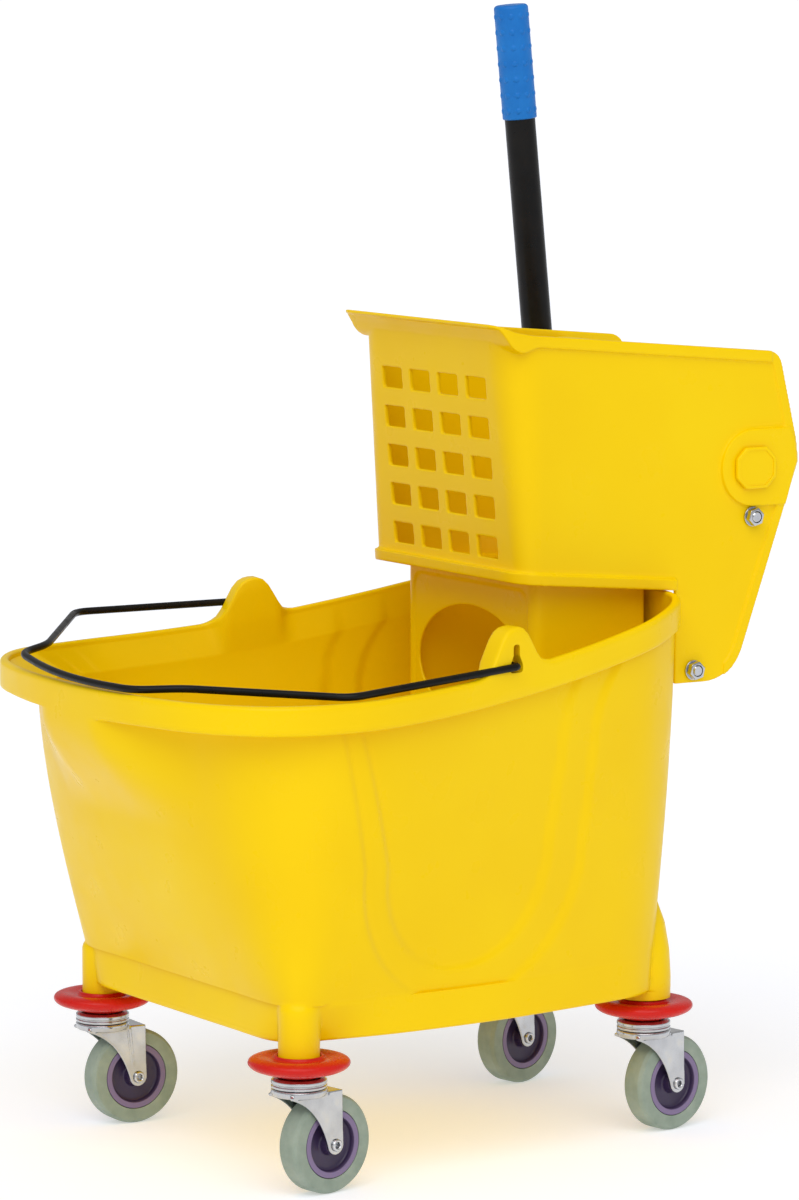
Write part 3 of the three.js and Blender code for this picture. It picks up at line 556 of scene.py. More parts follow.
# How deep a U step is outside and inside, how much of the inner one fades towards the rim and from
# which share of the wall's height, and half the width of its slope.
U_STEP, U_STEP_INSIDE, U_FADE, U_FADE_FROM, U_EDGE = 2.3, 4.2, 0.6, 0.55, 1.9
# How quickly the wall swells out above the crease, and how far the rim's face stands inside its plan.
WALL_SWELL, RIM_INSET = 1.6, 0.3
# How far the front of the skirt is tucked in under the wall, and the y where that starts and ends.
SKIRT_TUCK, TUCK_ALONG = 3.0, (-180, -150)
# The edge round the underside, and the bend between the wall and the floor inside.
FOOT_ROUND, FLOOR_BEND = 3.0, ((0, 5), (1, 2), (4, 0))
# Swelling round a caster's post: heights, radii there, and the width of the fillet to the wall.
REAR_POST = ([117, 128, 148, 170, 188, 197], [21, 21, 19.8, 16, 9, 0], 3.0)
FRONT_POST = ([117, 146, 156], [15.8, 15.8, 0], 1.2)
REAR_FOOT, OUT_OF_REACH = 16.0, -50
DOME_TOP, STEM_BORE, STEM_BORE_TOP = 146.0, 5.8, 140.0


def plan_outline(half):
    whole = [np.array(p, float) for p in half + [(-x, y) for x, y in half[-2:0:-1]]]
    n = len(whole)
    return np.array([
        catmull(whole[i - 1], whole[i], whole[(i + 1) % n], whole[(i + 2) % n], k / STEPS)
        for i in range(n) for k in range(STEPS)])


def outward(outline):
    """The outward direction at each point of a plan outline."""
    run = np.roll(outline, -1, 0) - np.roll(outline, 1, 0)
    run /= np.linalg.norm(run, axis=1)[:, None]
    return np.column_stack([run[:, 1], -run[:, 0]])


def inset(outline, distance):
    return outline - outward(outline) * np.reshape(distance, (-1, 1))


def shrunk(outline, scale):
    """An outline drawn in towards its middle."""
    centre = outline.mean(0)
    return centre + (outline - centre) * scale


def rim_height(y):
    return RIM_FRONT + RIM_RISE * np.maximum(0, y - RIM_START) ** 2


def pressed(y, z, nx):
    """How many of the nested steps in the side wall a point is pressed in by."""
    depth = np.zeros_like(y)
    for centre, half, middle_z, drop, front_spread, rear_spread, flare_from, flare in U_PANELS:
        across = np.abs(y - centre)
        spread = np.where(y < centre, front_spread, rear_spread) * np.maximum(0, z - middle_z)
        swing = np.where(y < centre, 0, flare * np.maximum(0, z - flare_from) ** 2)
        above = across - half - spread - swing
        below = (np.hypot(across / half, (middle_z - z) / drop) - 1) * drop
        depth += 1 - smoothstep(np.where(z >= middle_z, above, below), -U_EDGE, U_EDGE)
    return depth * smoothstep(np.abs(nx), 0.6, 0.9)


def post_of(tag):
    return REAR_POST if tag.startswith("rear") else FRONT_POST


def pushed_out(points, height):
    """Swells a plan ring outwards round the caster posts, with a soft fillet where it leaves the wall."""
    normals = outward(points)
    push = np.zeros(len(points))
    for tag, post in STEMS.items():
        heights, radii, blend = post_of(tag)
        radius = np.interp(height, heights, radii, right=0)
        away = points - np.array([post.x, post.y - DATUM_Y])
        lead = (normals * away).sum(1)
        room = lead ** 2 - (away ** 2).sum(1) + radius ** 2
        reach = np.where(room > 0, np.sqrt(np.maximum(room, 0)) - lead, OUT_OF_REACH)
        eased = 0.5 * (reach + np.sqrt(reach ** 2 + blend ** 2))
        push = np.maximum(push, eased - 0.5 * blend * (reach < 0))
    return points + normals * np.maximum(push, 0)[:, None]


def pouring(outline):
    """How far the wall runs out into the rim without a step: fully in the middle of the pouring edge."""
    along = 1 - smoothstep(np.abs(outline[:, 0]), POUR_HALF, POUR_END)
    return np.where(outline[:, 1] > 0, 0, along)


def wall_ring(share, thickness, outlines):
    """The wall's plan at a share of its height, outside, or inside where a thickness is given."""
    swell = 1 - (1 - share) ** WALL_SWELL
    low, high = inset(outlines["skirt"], thickness), inset(outlines["wall"], thickness)
    flat = low + (high - low) * swell
    rim = inset(outlines["rim"], LIP_WIDTH if thickness else RIM_INSET)
    run = smoothstep(share, POUR_FROM, 1.0) * pouring(high)
    flat = flat + (rim - flat) * run[:, None]
    z = CREASE + (rim_height(high[:, 1]) - LIP_HEIGHT - CREASE) * share
    normals = outward(flat)
    step = U_STEP
    if thickness:
        step = U_STEP_INSIDE * (1 - U_FADE * smoothstep(share, U_FADE_FROM, 1.0))
    flat = flat - normals * (step * pressed(flat[:, 1], z, normals[:, 0]))[:, None]
    if not thickness:
        flat = pushed_out(flat, z)
    return ring_z(flat, z)


def ear_height(y):
    """How far the ear stands above the rim: a crown that runs out into the rim on both sides."""
    rim = float(rim_height(EAR_Y))
    crown = [(0, EAR_PEAK), (6, EAR_PEAK - 0.9), (11, EAR_PEAK - 4.4), (15.5, EAR_PEAK - 11),
             (20, EAR_PEAK - 19.5), (25, rim + 5.7), (31, rim + 2), (EAR_FOOT, rim - 0.6)]
    line = np.array(curve_through(crown, 8))
    return np.maximum(0, np.interp(np.abs(y - EAR_Y), line[:, 0], line[:, 1] - rim, right=0))


def rim_rings(outline):
    """The rolled rim: up its outer face, over the top with the ears on it, and down the inner face."""
    y = outline[:, 1]
    side = smoothstep(np.abs(outline[:, 0]), 100, 150)
    ear = ear_height(y) * side
    thick = LIP_WIDTH + (EAR_WIDTH + 1.5 - LIP_WIDTH) * smoothstep(ear, 0.2, 7)
    notch = 1 - pouring(outline)
    rim = rim_height(y)
    rings = []

    def add(distance, z):
        rings.append(ring_z(inset(outline, distance + RIM_INSET + 0 * y), z))

    add(2.2 * notch, rim - LIP_DROP - 0.4)
    add(0.6 * notch, rim - LIP_DROP + 0.4)
    low, high = rim - LIP_DROP + 1.6, rim + ear - LIP_ROUND
    for share in np.linspace(0, 1, 7):
        add(0, low + (high - low) * share)
    for angle in np.radians([18, 36, 54, 72, 90]):
        add(LIP_ROUND * (1 - math.cos(angle)), high + LIP_ROUND * math.sin(angle))
    inner = 2.0
    for share in (0.35, 0.7, 1):
        add(LIP_ROUND + (thick - inner - LIP_ROUND) * share, rim + ear)
    for angle in np.radians([30, 60, 90]):
        add(thick - inner * (1 - math.sin(angle)), rim + ear - inner * (1 - math.cos(angle)))
    top, foot = rim + ear - inner, rim - 5
    for share in (0.25, 0.5, 0.75, 1):
        add(thick, top + (foot - top) * share)
    return rings


def foot_rings(base, skirt):
    """The underside, the soft edge round it, and the skirt up to the crease."""
    rings = [ring_z(shrunk(inset(base, FOOT_ROUND), scale), TUB_BOTTOM) for scale in (0.3, 0.6, 0.9)]
    for angle in np.radians([0, 30, 60, 90]):
        edge = inset(base, FOOT_ROUND * (1 - math.sin(angle)))
        z = TUB_BOTTOM + FOOT_ROUND * (1 - math.cos(angle))
        rings.append(ring_z(pushed_out(edge, z), z))
    low, high = TUB_BOTTOM + FOOT_ROUND, CREASE - 0.4
    for share in np.linspace(0, 1, 9)[1:]:
        z = low + (high - low) * share
        plan = base + (skirt - base) * share
        tuck = SKIRT_TUCK * (1 - smoothstep(plan[:, 1], *TUCK_ALONG)) * share
        rings.append(ring_z(pushed_out(inset(plan, tuck), z), z))
    return rings


def floor_rings(base, skirt):
    """The inner face below the crease, its bend into the floor, and the floor."""
    rings = []
    bend_top = TUB_FLOOR + FLOOR_BEND[0][1]
    for share in (0.3, 0.6, 0.85):
        plan = skirt + (base - skirt) * share
        rings.append(ring_z(inset(plan, WALL), CREASE + (bend_top - CREASE) * share))
    for distance, z in FLOOR_BEND:
        rings.append(ring_z(inset(base, WALL + distance), TUB_FLOOR + z))
    floor = inset(base, WALL + FLOOR_BEND[-1][0])
    return rings + [ring_z(shrunk(floor, scale), TUB_FLOOR) for scale in (0.9, 0.6, 0.3)]


def at_stem(tag):
    return Matrix.Translation(Vector((STEMS[tag].x, STEMS[tag].y, 0)) * MM)


def add_post(piece, tag):
    """A caster's post under the tub and its dome inside it, bored for the stem."""
    radius = post_of(tag)[1][0]
    low = radius if tag.startswith("front") else REAR_FOOT
    ledge = BUMPER_TOP + 0.3
    foot = lathe("foot", [(0, POST_BOTTOM), (low - 0.6, POST_BOTTOM), (low, POST_BOTTOM + 0.6), (low, ledge),
                          (radius, ledge), (radius, 119), (0, 119)])
    dome = lathe("dome", [(0, TUB_FLOOR - 1), (9, TUB_FLOOR - 1), (9, DOME_TOP - 3), (8, DOME_TOP - 0.6),
                          (5.5, DOME_TOP), (0, DOME_TOP)])
    bore = rod_z("bore", STEM_BORE, 100, STEM_BORE_TOP, 32)
    for obj in (foot, dome, bore):
        obj.data.transform(at_stem(tag))
    join(piece, foot, dome)
    cut(piece, bore)


def tub():
    outlines = {"base": plan_outline(BASE), "skirt": plan_outline(SKIRT_TOP),
                "wall": plan_outline(WALL_TOP), "rim": plan_outline(RIM)}
    base, skirt = outlines["base"], outlines["skirt"]
    rings = foot_rings(base, skirt)
    rings += [wall_ring(share, 0, outlines) for share in np.linspace(0, 1, 96)]
    rings += rim_rings(outlines["rim"])
    rings += [wall_ring(share, WALL, outlines) for share in np.linspace(1, 0, 80)]
    rings += floor_rings(base, skirt)
    piece = loft("bucket_tub_shell", rings)
    for tag in STEMS:
        add_post(piece, tag)
    for side in (1, -1):
        cut(piece, keyhole(side))
    return install(shade(piece), "yellow_plastic", "bucket", "bucket_tub")


def keyhole(side):
    """The blind slot that the bail hooks in: narrow above, wide below."""
    y = EAR_Y
    outline = rounded([(y - 6.5, 391, 3), (y + 6.5, 391, 3), (y + 6.5, 397, 3), (y + 3.2, 404, 3),
                       (y + 3.2, 412.5, 3), (y - 3.2, 412.5, 3), (y - 3.2, 404, 3), (y - 6.5, 397, 3)], 6)
    ends = sorted((side * KEYHOLE_END, side * (KEYHOLE_END + 32)))
    return prism_x("keyhole", outline, *ends)


# ---------- casters
WHEEL_RADIUS, TYRE_HALF, HUB_RADIUS, TRAIL = 38.1, 10.0, 26.0, 25.0
FORK_INNER, FORK_PLATE, CROWN, CROWN_TOP = 11.6, 2.2, 78.0, 83.9
FORK_FRONT, FORK_REAR, AXLE_BORE = -19, 31.5, 3.8


def bumper_shape():
    """A soft disc round the post: a lens with a round edge, dished on top, with a lip round the post."""
    skin = curve_through([(15.5, 92.3), (21, 94.4), (31, 97.0), (36.4, 99.4), (38.7, 102.6),
                          (37.4, 105.7), (33, 107.5), (27, 107.4), (21.4, 106.4), (19.6, 107.0),
                          (18.6, 108.5), (17.3, 108.6), (16.5, 107.5), (16.4, 106.7)], 6)
    ring = [(STEM_BORE, skin[0][1]), *skin, (STEM_BORE, skin[-1][1])]
    return shade(lathe("bumper", ring, 128, closed=True))


def stem_shape():
    """The fixed half of the swivel: a pressed cup with a rolled groove, and the stem above it."""
    cup = rounded([(0, 84.2), (21.3, 84.2, 1.2), (21.3, 86.2, 0.5), (20.5, 86.8, 0.5), (20.5, 87.5, 0.5),
                   (21.3, 88.1, 0.5), (21.3, 90.4, 1.4), (19, 92, 1), (5.5, 92), (5.5, 138.7), (4.5, 139.7),
                   (0, 139.7)], 5)
    return shade(lathe("stem", cup, 96))


def fork_shape():
    """A stamped fork drawn round its stem, trailing along +Y: cup, crown and two scooped legs."""
    outer = FORK_INNER + FORK_PLATE
    t = np.linspace(0, 1, 20)[:, None]
    scoop = (1 - t) ** 2 * [FORK_FRONT, CROWN] + 2 * t * (1 - t) * [9, 69] + t ** 2 * [18, 35.5]
    leg = [tuple(p) for p in scoop] + arc(TRAIL, WHEEL_RADIUS, 7.5, 205, 370, 20)
    leg += [(FORK_REAR, CROWN + FORK_PLATE), (FORK_FRONT, CROWN + FORK_PLATE)]
    piece = lathe("fork", rounded([(0, CROWN), (20.2, CROWN), (21.3, 80.4, 1.5), (21.3, CROWN_TOP, 1.5),
                                   (0, CROWN_TOP)], 6), 96)
    crown = rounded([(-outer, -17), (outer, -17), (outer, FORK_REAR, 3), (-outer, FORK_REAR, 3)], 6)
    join(piece, prism_z("crown", crown, CROWN, CROWN + FORK_PLATE, local=True))
    for x in (-outer, FORK_INNER):
        join(piece, prism_x("leg", leg, x, x + FORK_PLATE, local=True))
    rib = [(19.5, 48), (21, 48), (18, CROWN), (15.5, CROWN)]
    for x in (-outer - 0.5, outer - 0.3):
        join(piece, prism_x("rib", rib, x, x + 0.8, local=True))
    cut(piece, along_x(rod_z("bore", AXLE_BORE, -30, 30, 32), TRAIL, WHEEL_RADIUS, local=True))
    return moulded(piece, 0.7, 3)


def rivet_shape():
    """A tubular rivet: flat head on one side, rolled open end on the other."""
    face, shank = FORK_INNER + FORK_PLATE + 0.3, 3.5
    profile = [(0, -face - 1.6), (4.0, -face - 1.5), (4.6, -face - 0.7), (4.6, -face), (shank, -face),
               (shank, face), (4.6, face), (4.6, face + 0.9), (4.2, face + 1.7), (3.5, face + 2.0),
               (2.7, face + 1.7), (2.3, face + 0.6), (2.2, face - 3), (0, face - 3)]
    return shade(along_x(lathe("rivet", profile, 48), 0, 0, local=True), 50)


def mirrored_profile(side):
    """A closed [radius, z] profile from its upper half, with every corner rounded."""
    return rounded(side + [(r, -z, corner) for r, z, corner in reversed(side)], 6)


def hub_shape():
    """A dished disc with a raised bearing in the middle and a flat flange round it."""
    half = TYRE_HALF
    side = [(AXLE_BORE, half + 0.9, 0.3), (7.4, half + 0.9, 0.6), (8.6, 4.2, 2), (20.6, 4.6, 3),
            (HUB_FLANGE - 0.6, half - 0.4, 0.5), (HUB_RADIUS - 0.1, half - 0.2, 0.4)]
    return shade(along_x(lathe("hub", mirrored_profile(side), 128, closed=True), 0, 0, local=True))


def tyre_shape():
    """A solid tyre with soft shoulders."""
    inner, half = 26.4, TYRE_HALF
    side = [(inner, half - 0.1, 0.4), (36.0, half, 1.6), (WHEEL_RADIUS, half - 3.0, 2.4)]
    return shade(along_x(lathe("tyre", mirrored_profile(side), 160, closed=True), 0, 0, local=True), 60)


def casters():
    """Each caster part's shape, material and CAD node, set at all four casters."""
    parts = {"bumper": (bumper_shape(), "red_vinyl", "bumper"),
             "stem": (stem_shape(), "zinc_plate", "caster_stem"),
             "fork": (fork_shape(), "zinc_plate", "caster_fork"),
             "rivet": (rivet_shape(), "bright_steel", "axle_rivet"),
             "hub": (hub_shape(), "purple_hub", "wheel_hub"),
             "tyre": (tyre_shape(), "grey_tyre", "wheel_tyre")}
    for tag in TAGS:
        spin = JOINTS[f"{tag}_wheel_spin"]
        turn = Matrix.Rotation(math.atan2(spin["axis"][1], spin["axis"][0]), 4, "Z")
        post = at_stem(tag)
        axle = Matrix.Translation(Vector(spin["pos_m"])) @ turn
        places = {"bumper": (post, "bucket"), "stem": (post, "bucket"),
                  "fork": (post @ turn, f"swivel_{tag}"), "rivet": (axle, f"swivel_{tag}"),
                  "hub": (axle, f"wheel_{tag}"), "tyre": (axle, f"wheel_{tag}")}
        for part, (shape, slot, node) in parts.items():
            obj = add_object(f"{part}_{tag}_shape", shape.data)
            obj.matrix_world, body = places[part]
            install(obj, slot, body, f"{node}_{tag}")
    for shape, _, _ in parts.values():
        bpy.data.objects.remove(shape)


# ---------- bail
WIRE, BAIL_END, BAIL_STUB = 2.9, 200.8, 187.9
BAIL_NEAR_Z, BAIL_FAR_Z, BAIL_MIDDLE_Z = 396.0, 404.8, 402.3
BAIL_TILT, BAIL_PITCH = math.radians(2.8), math.radians(2.8)
# How far each bend of a leg stands out from the middle, and how far it reaches forwards from the ears.
BAIL_LEG = [(208, 153), (104.8, 235), (86.4, 268.5)]
BAIL_BOW, BAIL_SAG = 282.0, 3.0
BAIL_BENDS = [4, 12, 12, 14, 60, 14, 12, 12, 4]


def bail_point(x, reach, sag=0.0):
    """A point of the bail as it leans on the near rim."""
    z = BAIL_MIDDLE_Z - x * math.tan(BAIL_TILT) - reach * math.tan(BAIL_PITCH)
    return Vector((x, EAR_Y - reach, z - sag))


def bail():
    """A bent wire that lies over the rim with its ends hooked in the keyholes."""
    corners = [Vector((-BAIL_STUB, EAR_Y, BAIL_FAR_Z)), Vector((-BAIL_END, EAR_Y, BAIL_FAR_Z))]
    corners += [bail_point(-x, reach) for x, reach in BAIL_LEG]
    corners += [bail_point(0, BAIL_BOW, BAIL_SAG)]
    corners += [bail_point(x, reach) for x, reach in reversed(BAIL_LEG)]
    corners += [Vector((BAIL_END, EAR_Y, BAIL_NEAR_Z)), Vector((BAIL_STUB, EAR_Y, BAIL_NEAR_Z))]
    path = [corners[0]]
    for before, here, after, bend in zip(corners, corners[1:], corners[2:], BAIL_BENDS):
        start = here + (before - here).normalized() * bend
        end = here + (after - here).normalized() * bend
        path += bent(start, here, end, 12)
    path.append(corners[-1])
    piece = swept("bail_wire", path, WIRE, 20)
    return install(shade(piece, 60), "black_wire", "bail", "bail_handle")


def swept(name, path, radius, sides):
    """A round bar along a path, with rounded ends."""
    points = [Vector(p) for p in path]
    runs = [(b - a).normalized() for a, b in zip(points, points[1:])]
    tangents = [runs[0]] + [(a + b).normalized() for a, b in zip(runs, runs[1:])] + [runs[-1]]
    side = tangents[0].orthogonal().normalized()
    rings = []
    for i, (point, tangent) in enumerate(zip(points, tangents)):
        side = (side - tangent * side.dot(tangent)).normalized()
        other = tangent.cross(side)
        ends = {0: ((0.45, -0.9), (0.85, -0.5)), len(points) - 1: ((0.85, 0.5), (0.45, 0.9))}
        profile = [(1, 0)]
        if i == 0:
            profile = [*ends[0], (1, 0)]
        elif i == len(points) - 1:
            profile = [(1, 0), *ends[i]]
        for scale, ahead in profile:
            centre = point + tangent * (ahead * radius * 0.5)
            rings.append(np.array([
                centre + (side * math.cos(a) + other * math.sin(a)) * (radius * scale)
                for a in np.linspace(0, 2 * math.pi, sides, endpoint=False)]))
    return loft(name, rings)


# ---------- wringer casing
HALF, CORNER, SLOPE, LEAN = 110.0, 24.0, 0.091, 0.0888
FRONT_LOW, BOX_LOW, BOX_HIGH, SLOPE_FROM, FLOOR_REAR = 57.3, 445.9, 636.0, 71.0, 199.0
PANEL_FRONT, PANEL_BOTTOM = 199.5, 357.0
HOLE_COLUMNS, HOLE_ROWS, HOLE_PITCH, HOLE_SIZE = 4, 5, (40.2, 31.2), (28, 16.5)
HOLE_TOP, HOLE_ROUND = 594.0, 0.8
SPOUT_HALF, SPOUT_FRONT, SPOUT_REAR, SPOUT_LOW = 92.5, 78.0, 184.0, 290.0
MOUTH_WIDTH, MOUTH_HEIGHT, MOUTH_Z = 150.0, 93.0, 369.5
RECESS = dict(half=82, low=300, high=436, corner=14, depth=1.2)
BOSS_RADIUS, BOSS_RAISE = 30.5, 3.5
HOOK_X, HOOK_HALF, SHAFT_BORE, TIE_BORE = 55, 5, 8.4, 4.9
# The front corners are tight at the bottom of the box and broad at its top.
CORNER_LOW, CORNER_HIGH = 16.0, 32.0
PRISM_LOW, PRISM_HIGH = 280.0, 700.0
# A lip's reach in front of the box and beside it, its corner radius, and its section: thickness
# beside the box, depth at the front face, thickness of its front edge, how far that turns up, and
# where it ends at the rear.
TOP_LIP = dict(front=12.0, side=3.0, corner=16.0, thick=9.0, flare=14.0, edge=4.0, upturn=7.5, rear=290.0)
BOTTOM_LIP = dict(front=7.0, side=3.0, corner=29.0, thick=9.0, flare=9.0, edge=9.0, upturn=0.0, rear=199.5)
EDGE_WIDTH, EDGE_RAISED, EDGE_FROM = 8.0, 1.8, 246.0


def box_top(y):
    return BOX_HIGH - SLOPE * (y - SLOPE_FROM)


def box_low(y):
    return BOX_LOW - SLOPE * (y - SLOPE_FROM)


def side_corners():
    """A side panel and the box in front of it, as [y, z] corners with their radii."""
    return [(0, box_low(0)), (PANEL_FRONT, box_low(PANEL_FRONT)), (PANEL_FRONT, PANEL_BOTTOM),
            (254, 356.5, 40), (317, 528, 6), (315, 545, 6), (298, box_top(298), 16), (0, box_top(0))]


def lean(y, z, rear):
    """The front leans forwards towards the top, and the rear stays upright."""
    return y - LEAN * (z - BOX_LOW) * (1 - float(smoothstep(y, FRONT_LOW + CORNER, rear)))


def front_prism(name, half, front, corners, rear):
    """A leaning prism with rounded front corners, of one radius at its foot and another at its head."""
    rings = []
    for corner, z in zip(corners, (PRISM_LOW, PRISM_HIGH)):
        plan = rounded([(-half, rear), (-half, front, corner), (half, front, corner), (half, rear)], 16)
        rings.append(ring_z([(x, lean(y, z, rear)) for x, y in plan], z))
    return loft(name, rings)


def box_prism(name, inward, rear):
    """The box in plan, or its inside when it is set inwards by the wall."""
    grow = (CORNER_HIGH - CORNER_LOW) / (BOX_HIGH - BOX_LOW)
    corners = [max(0.5, CORNER_LOW + grow * (z - BOX_LOW) - inward) for z in (PRISM_LOW, PRISM_HIGH)]
    return front_prism(name, HALF - inward, FRONT_LOW + inward, corners, rear)


def lip(height, front, side, corner, thick, flare, edge, upturn, rear):
    """A lip round the box: a low bead along the sides, and a wider one that flares out across the front."""
    ring = cut(front_prism("lip", HALF + side, FRONT_LOW - front, (corner, corner), rear),
               box_prism("hole", WALL - 0.5, rear + 20))
    under = curve_through([(0, height(0) + upturn - edge), (29, height(29) + upturn - edge),
                           (36, height(36) + 0.45 * upturn - edge), (44, height(44) - 0.75 * flare),
                           (54, height(54) - flare), (68, height(68) - thick)], 6)
    over = curve_through([(62, height(62)), (46, height(46) + 0.25 * upturn),
                          (30, height(30) + 0.8 * upturn), (14, height(14) + upturn),
                          (0, height(0) + upturn)], 6)
    section = under + [(rear, height(rear) - thick), (rear, height(rear))] + over
    band = prism_x("band", section, -HALF - side, HALF + side)
    return combine(ring, band, "INTERSECT")


def boss_outline():
    return arc(SHAFT.y, SHAFT.z, BOSS_RADIUS, 90, 270, 40) + [
        (304, SHAFT.z - BOSS_RADIUS), (314.5, 528), (312.5, 545), (308, SHAFT.z + BOSS_RADIUS)]


def resampled(points, step):
    """A closed outline with more points along its straight runs."""
    dense = []
    for start, end in zip(points, points[1:] + points[:1]):
        start, end = np.array(start, float), np.array(end, float)
        count = max(1, int(np.linalg.norm(end - start) / step))
        dense += [start + (end - start) * k / count for k in range(count)]
    return np.array(dense)


def edge_bands():
    """The raised band that follows the rear edge of each side panel, round both of its corners."""
    outline = resampled(rounded(side_corners(), 20), 3.0)
    bands = []
    for side in (1, -1):
        ends = sorted((side * (HALF - 1), side * (HALF + EDGE_RAISED)))
        band = prism_x("edge", outline, *ends)
        cut(band, prism_x("inside", inset(outline, EDGE_WIDTH), ends[0] - 1, ends[1] + 1))
        rear_only = block("rear_only", -HALF - 10, HALF + 10, EDGE_FROM, 400, 300, 700)
        bands.append(combine(band, rear_only, "INTERSECT"))
    return bands


def spout_plan(inward):
    half, front, rear, corner = SPOUT_HALF - inward, SPOUT_FRONT + inward, SPOUT_REAR - inward, 10 - inward
    return rounded([(-half, rear, 6), (-half, front, corner), (half, front, corner), (half, rear, 6)], 8)


def across_y(name, outline, y0, y1):
    """[x, z] points stretched along Y."""
    ends = [np.array([(x, y, z) for x, z in outline]) for y in (y0, y1)]
    return loft(name, ends)


def spout():
    """The drain spout that hangs in the tub, with an oval mouth in a shallow recessed panel."""
    shell = prism_z("spout", spout_plan(0), SPOUT_LOW, 460)
    cut(shell, prism_z("hollow", spout_plan(WALL), SPOUT_LOW - 1, 461))
    top = prism_x("top", [(0, box_low(0) + 1), (204, box_low(204) + 1), (204, 500), (0, 500)],
                  -SPOUT_HALF - 1, SPOUT_HALF + 1)
    oval = [(MOUTH_WIDTH / 2 * math.cos(a), MOUTH_Z + MOUTH_HEIGHT / 2 * math.sin(a))
            for a in np.linspace(0, 2 * math.pi, 96, endpoint=False)]
    half, low, high, corner, depth = RECESS.values()
    corners = [(-half, low), (half, low), (half, high), (-half, high)]
    recess = rounded([(x, z, corner) for x, z in corners])
    front = SPOUT_FRONT
    return cut(shell, top, across_y("mouth", oval, front - 5, front + 20),
               across_y("recess", recess, front - 5, front + depth))


def casing_box():
    """The box and both side panels, hollow and open at the top and the rear."""
    piece = prism_x("wringer_casing_shell", rounded(side_corners()), -HALF, HALF)
    combine(piece, box_prism("front", 0, 400), "INTERSECT")
    rear = FLOOR_REAR + 60
    hollow = prism_x("hollow", [(-5, box_low(-5) + WALL), (rear, box_low(rear) + WALL), (rear, 300),
                                (400, 300), (400, 700), (-5, 700)], WALL - HALF, HALF - WALL)
    combine(hollow, box_prism("inside", WALL, 500), "INTERSECT")
    return cut(piece, hollow, block("behind", WALL - HALF, HALF - WALL, FLOOR_REAR, 400, 300, 700))


def cut_holes(piece):
    """The grid of drain holes in the front."""
    w, h = HOLE_SIZE[0] / 2, HOLE_SIZE[1] / 2
    for column in range(HOLE_COLUMNS):
        for row in range(HOLE_ROWS):
            x = (column - (HOLE_COLUMNS - 1) / 2) * HOLE_PITCH[0]
            z = HOLE_TOP - row * HOLE_PITCH[1]
            corners = [(x - w, z - h), (x + w, z - h), (x + w, z + h), (x - w, z + h)]
            opening = rounded([(*corner, HOLE_ROUND) for corner in corners], 4)
            cut(piece, across_y("opening", opening, 0, 80))


def casing():
    piece = casing_box()
    join(piece, lip(box_top, **TOP_LIP), lip(lambda y: box_low(y) + 6, **BOTTOM_LIP))
    bosses = prism_x("boss", boss_outline(), -HALF - BOSS_RAISE, HALF + BOSS_RAISE)
    cut(bosses, block("between", WALL - HALF, HALF - WALL, 0, 400, 300, 700))
    join(piece, bosses, *edge_bands(), spout())
    for x in (-HOOK_X, HOOK_X):
        join(piece, block("hook", x - HOOK_HALF, x + HOOK_HALF, SPOUT_REAR - 2, FLOOR_REAR,
                          float(rim_height(FLOOR_REAR)) + 0.3, box_low(FLOOR_REAR) + 2))
    cut_holes(piece)
    inner = SPOUT_HALF - 2 * WALL
    cut(piece, block("throat", -inner, inner, SPOUT_FRONT + WALL, SPOUT_REAR - WALL, SPOUT_LOW, 460))
    for radius, place in ((SHAFT_BORE, SHAFT), (TIE_BORE, UPPER_TIE), (TIE_BORE, HINGE)):
        cut(piece, rod_x("bore", radius, -130, 130, place.y, place.z))
    return install(moulded(piece, 0.9, 3), "yellow_plastic", "wringer", "wringer_casing")


# ---------- press plate, drive and fasteners
HEX_WIDTH, BOLT_RADIUS, BOLT_HEAD, THREAD_PITCH, THREAD_DEPTH, THREADS = 13, 4.5, 6.0, 1.25, 0.45, 6
WASHER_RADIUS, WASHER_THICK, NUT_BORE, SHAFT_RADIUS = 7.9, 1.6, 4.8, 8


def soft_copy(node, name, voxel_mm, passes):
    """The CAD node's own shape with softly rounded edges."""
    obj = add_object(name, frame["nodes"][node].data.copy())
    weld = bmesh.new()
    weld.from_mesh(obj.data)
    bmesh.ops.remove_doubles(weld, verts=weld.verts, dist=1e-6)
    weld.to_mesh(obj.data)
    weld.free()
    return moulded(obj, voxel_mm, passes)


def press_plate():
    plate = soft_copy("press_plate", "press_plate_moulding", 1.1, 3)
    return install(plate, "yellow_plastic", "press", "press_plate")


def hexagon(width, y, z, turn=15):
    return [(y + width / math.sqrt(3) * math.cos(math.radians(turn + 60 * i)),
             z + width / math.sqrt(3) * math.sin(math.radians(turn + 60 * i))) for i in range(6)]


def tie_bolt(name, node, place):
    """A bolt across the casing: hexagon head outside the far panel, threaded end outside the near one."""
    low, high = (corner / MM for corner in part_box(node))
    radius, under = BOLT_RADIUS, low.x + BOLT_HEAD - 1
    thread = []
    for turn in range(THREADS):
        x = high.x - 1.2 - turn * THREAD_PITCH
        thread += [(radius, x), (radius - THREAD_DEPTH, x - THREAD_PITCH / 2)]
    profile = [(0, high.x), (radius - 1, high.x), *thread, (radius, high.x - 9), (radius, under), (0, under)]
    piece = along_x(lathe(name, profile, 48), place.y, place.z)
    head = prism_x("head", hexagon(HEX_WIDTH, place.y, place.z), low.x, low.x + BOLT_HEAD)
    join(piece, bevelled(head, 0.5))
    return install(shade(piece), "zinc_plate", "wringer", node)


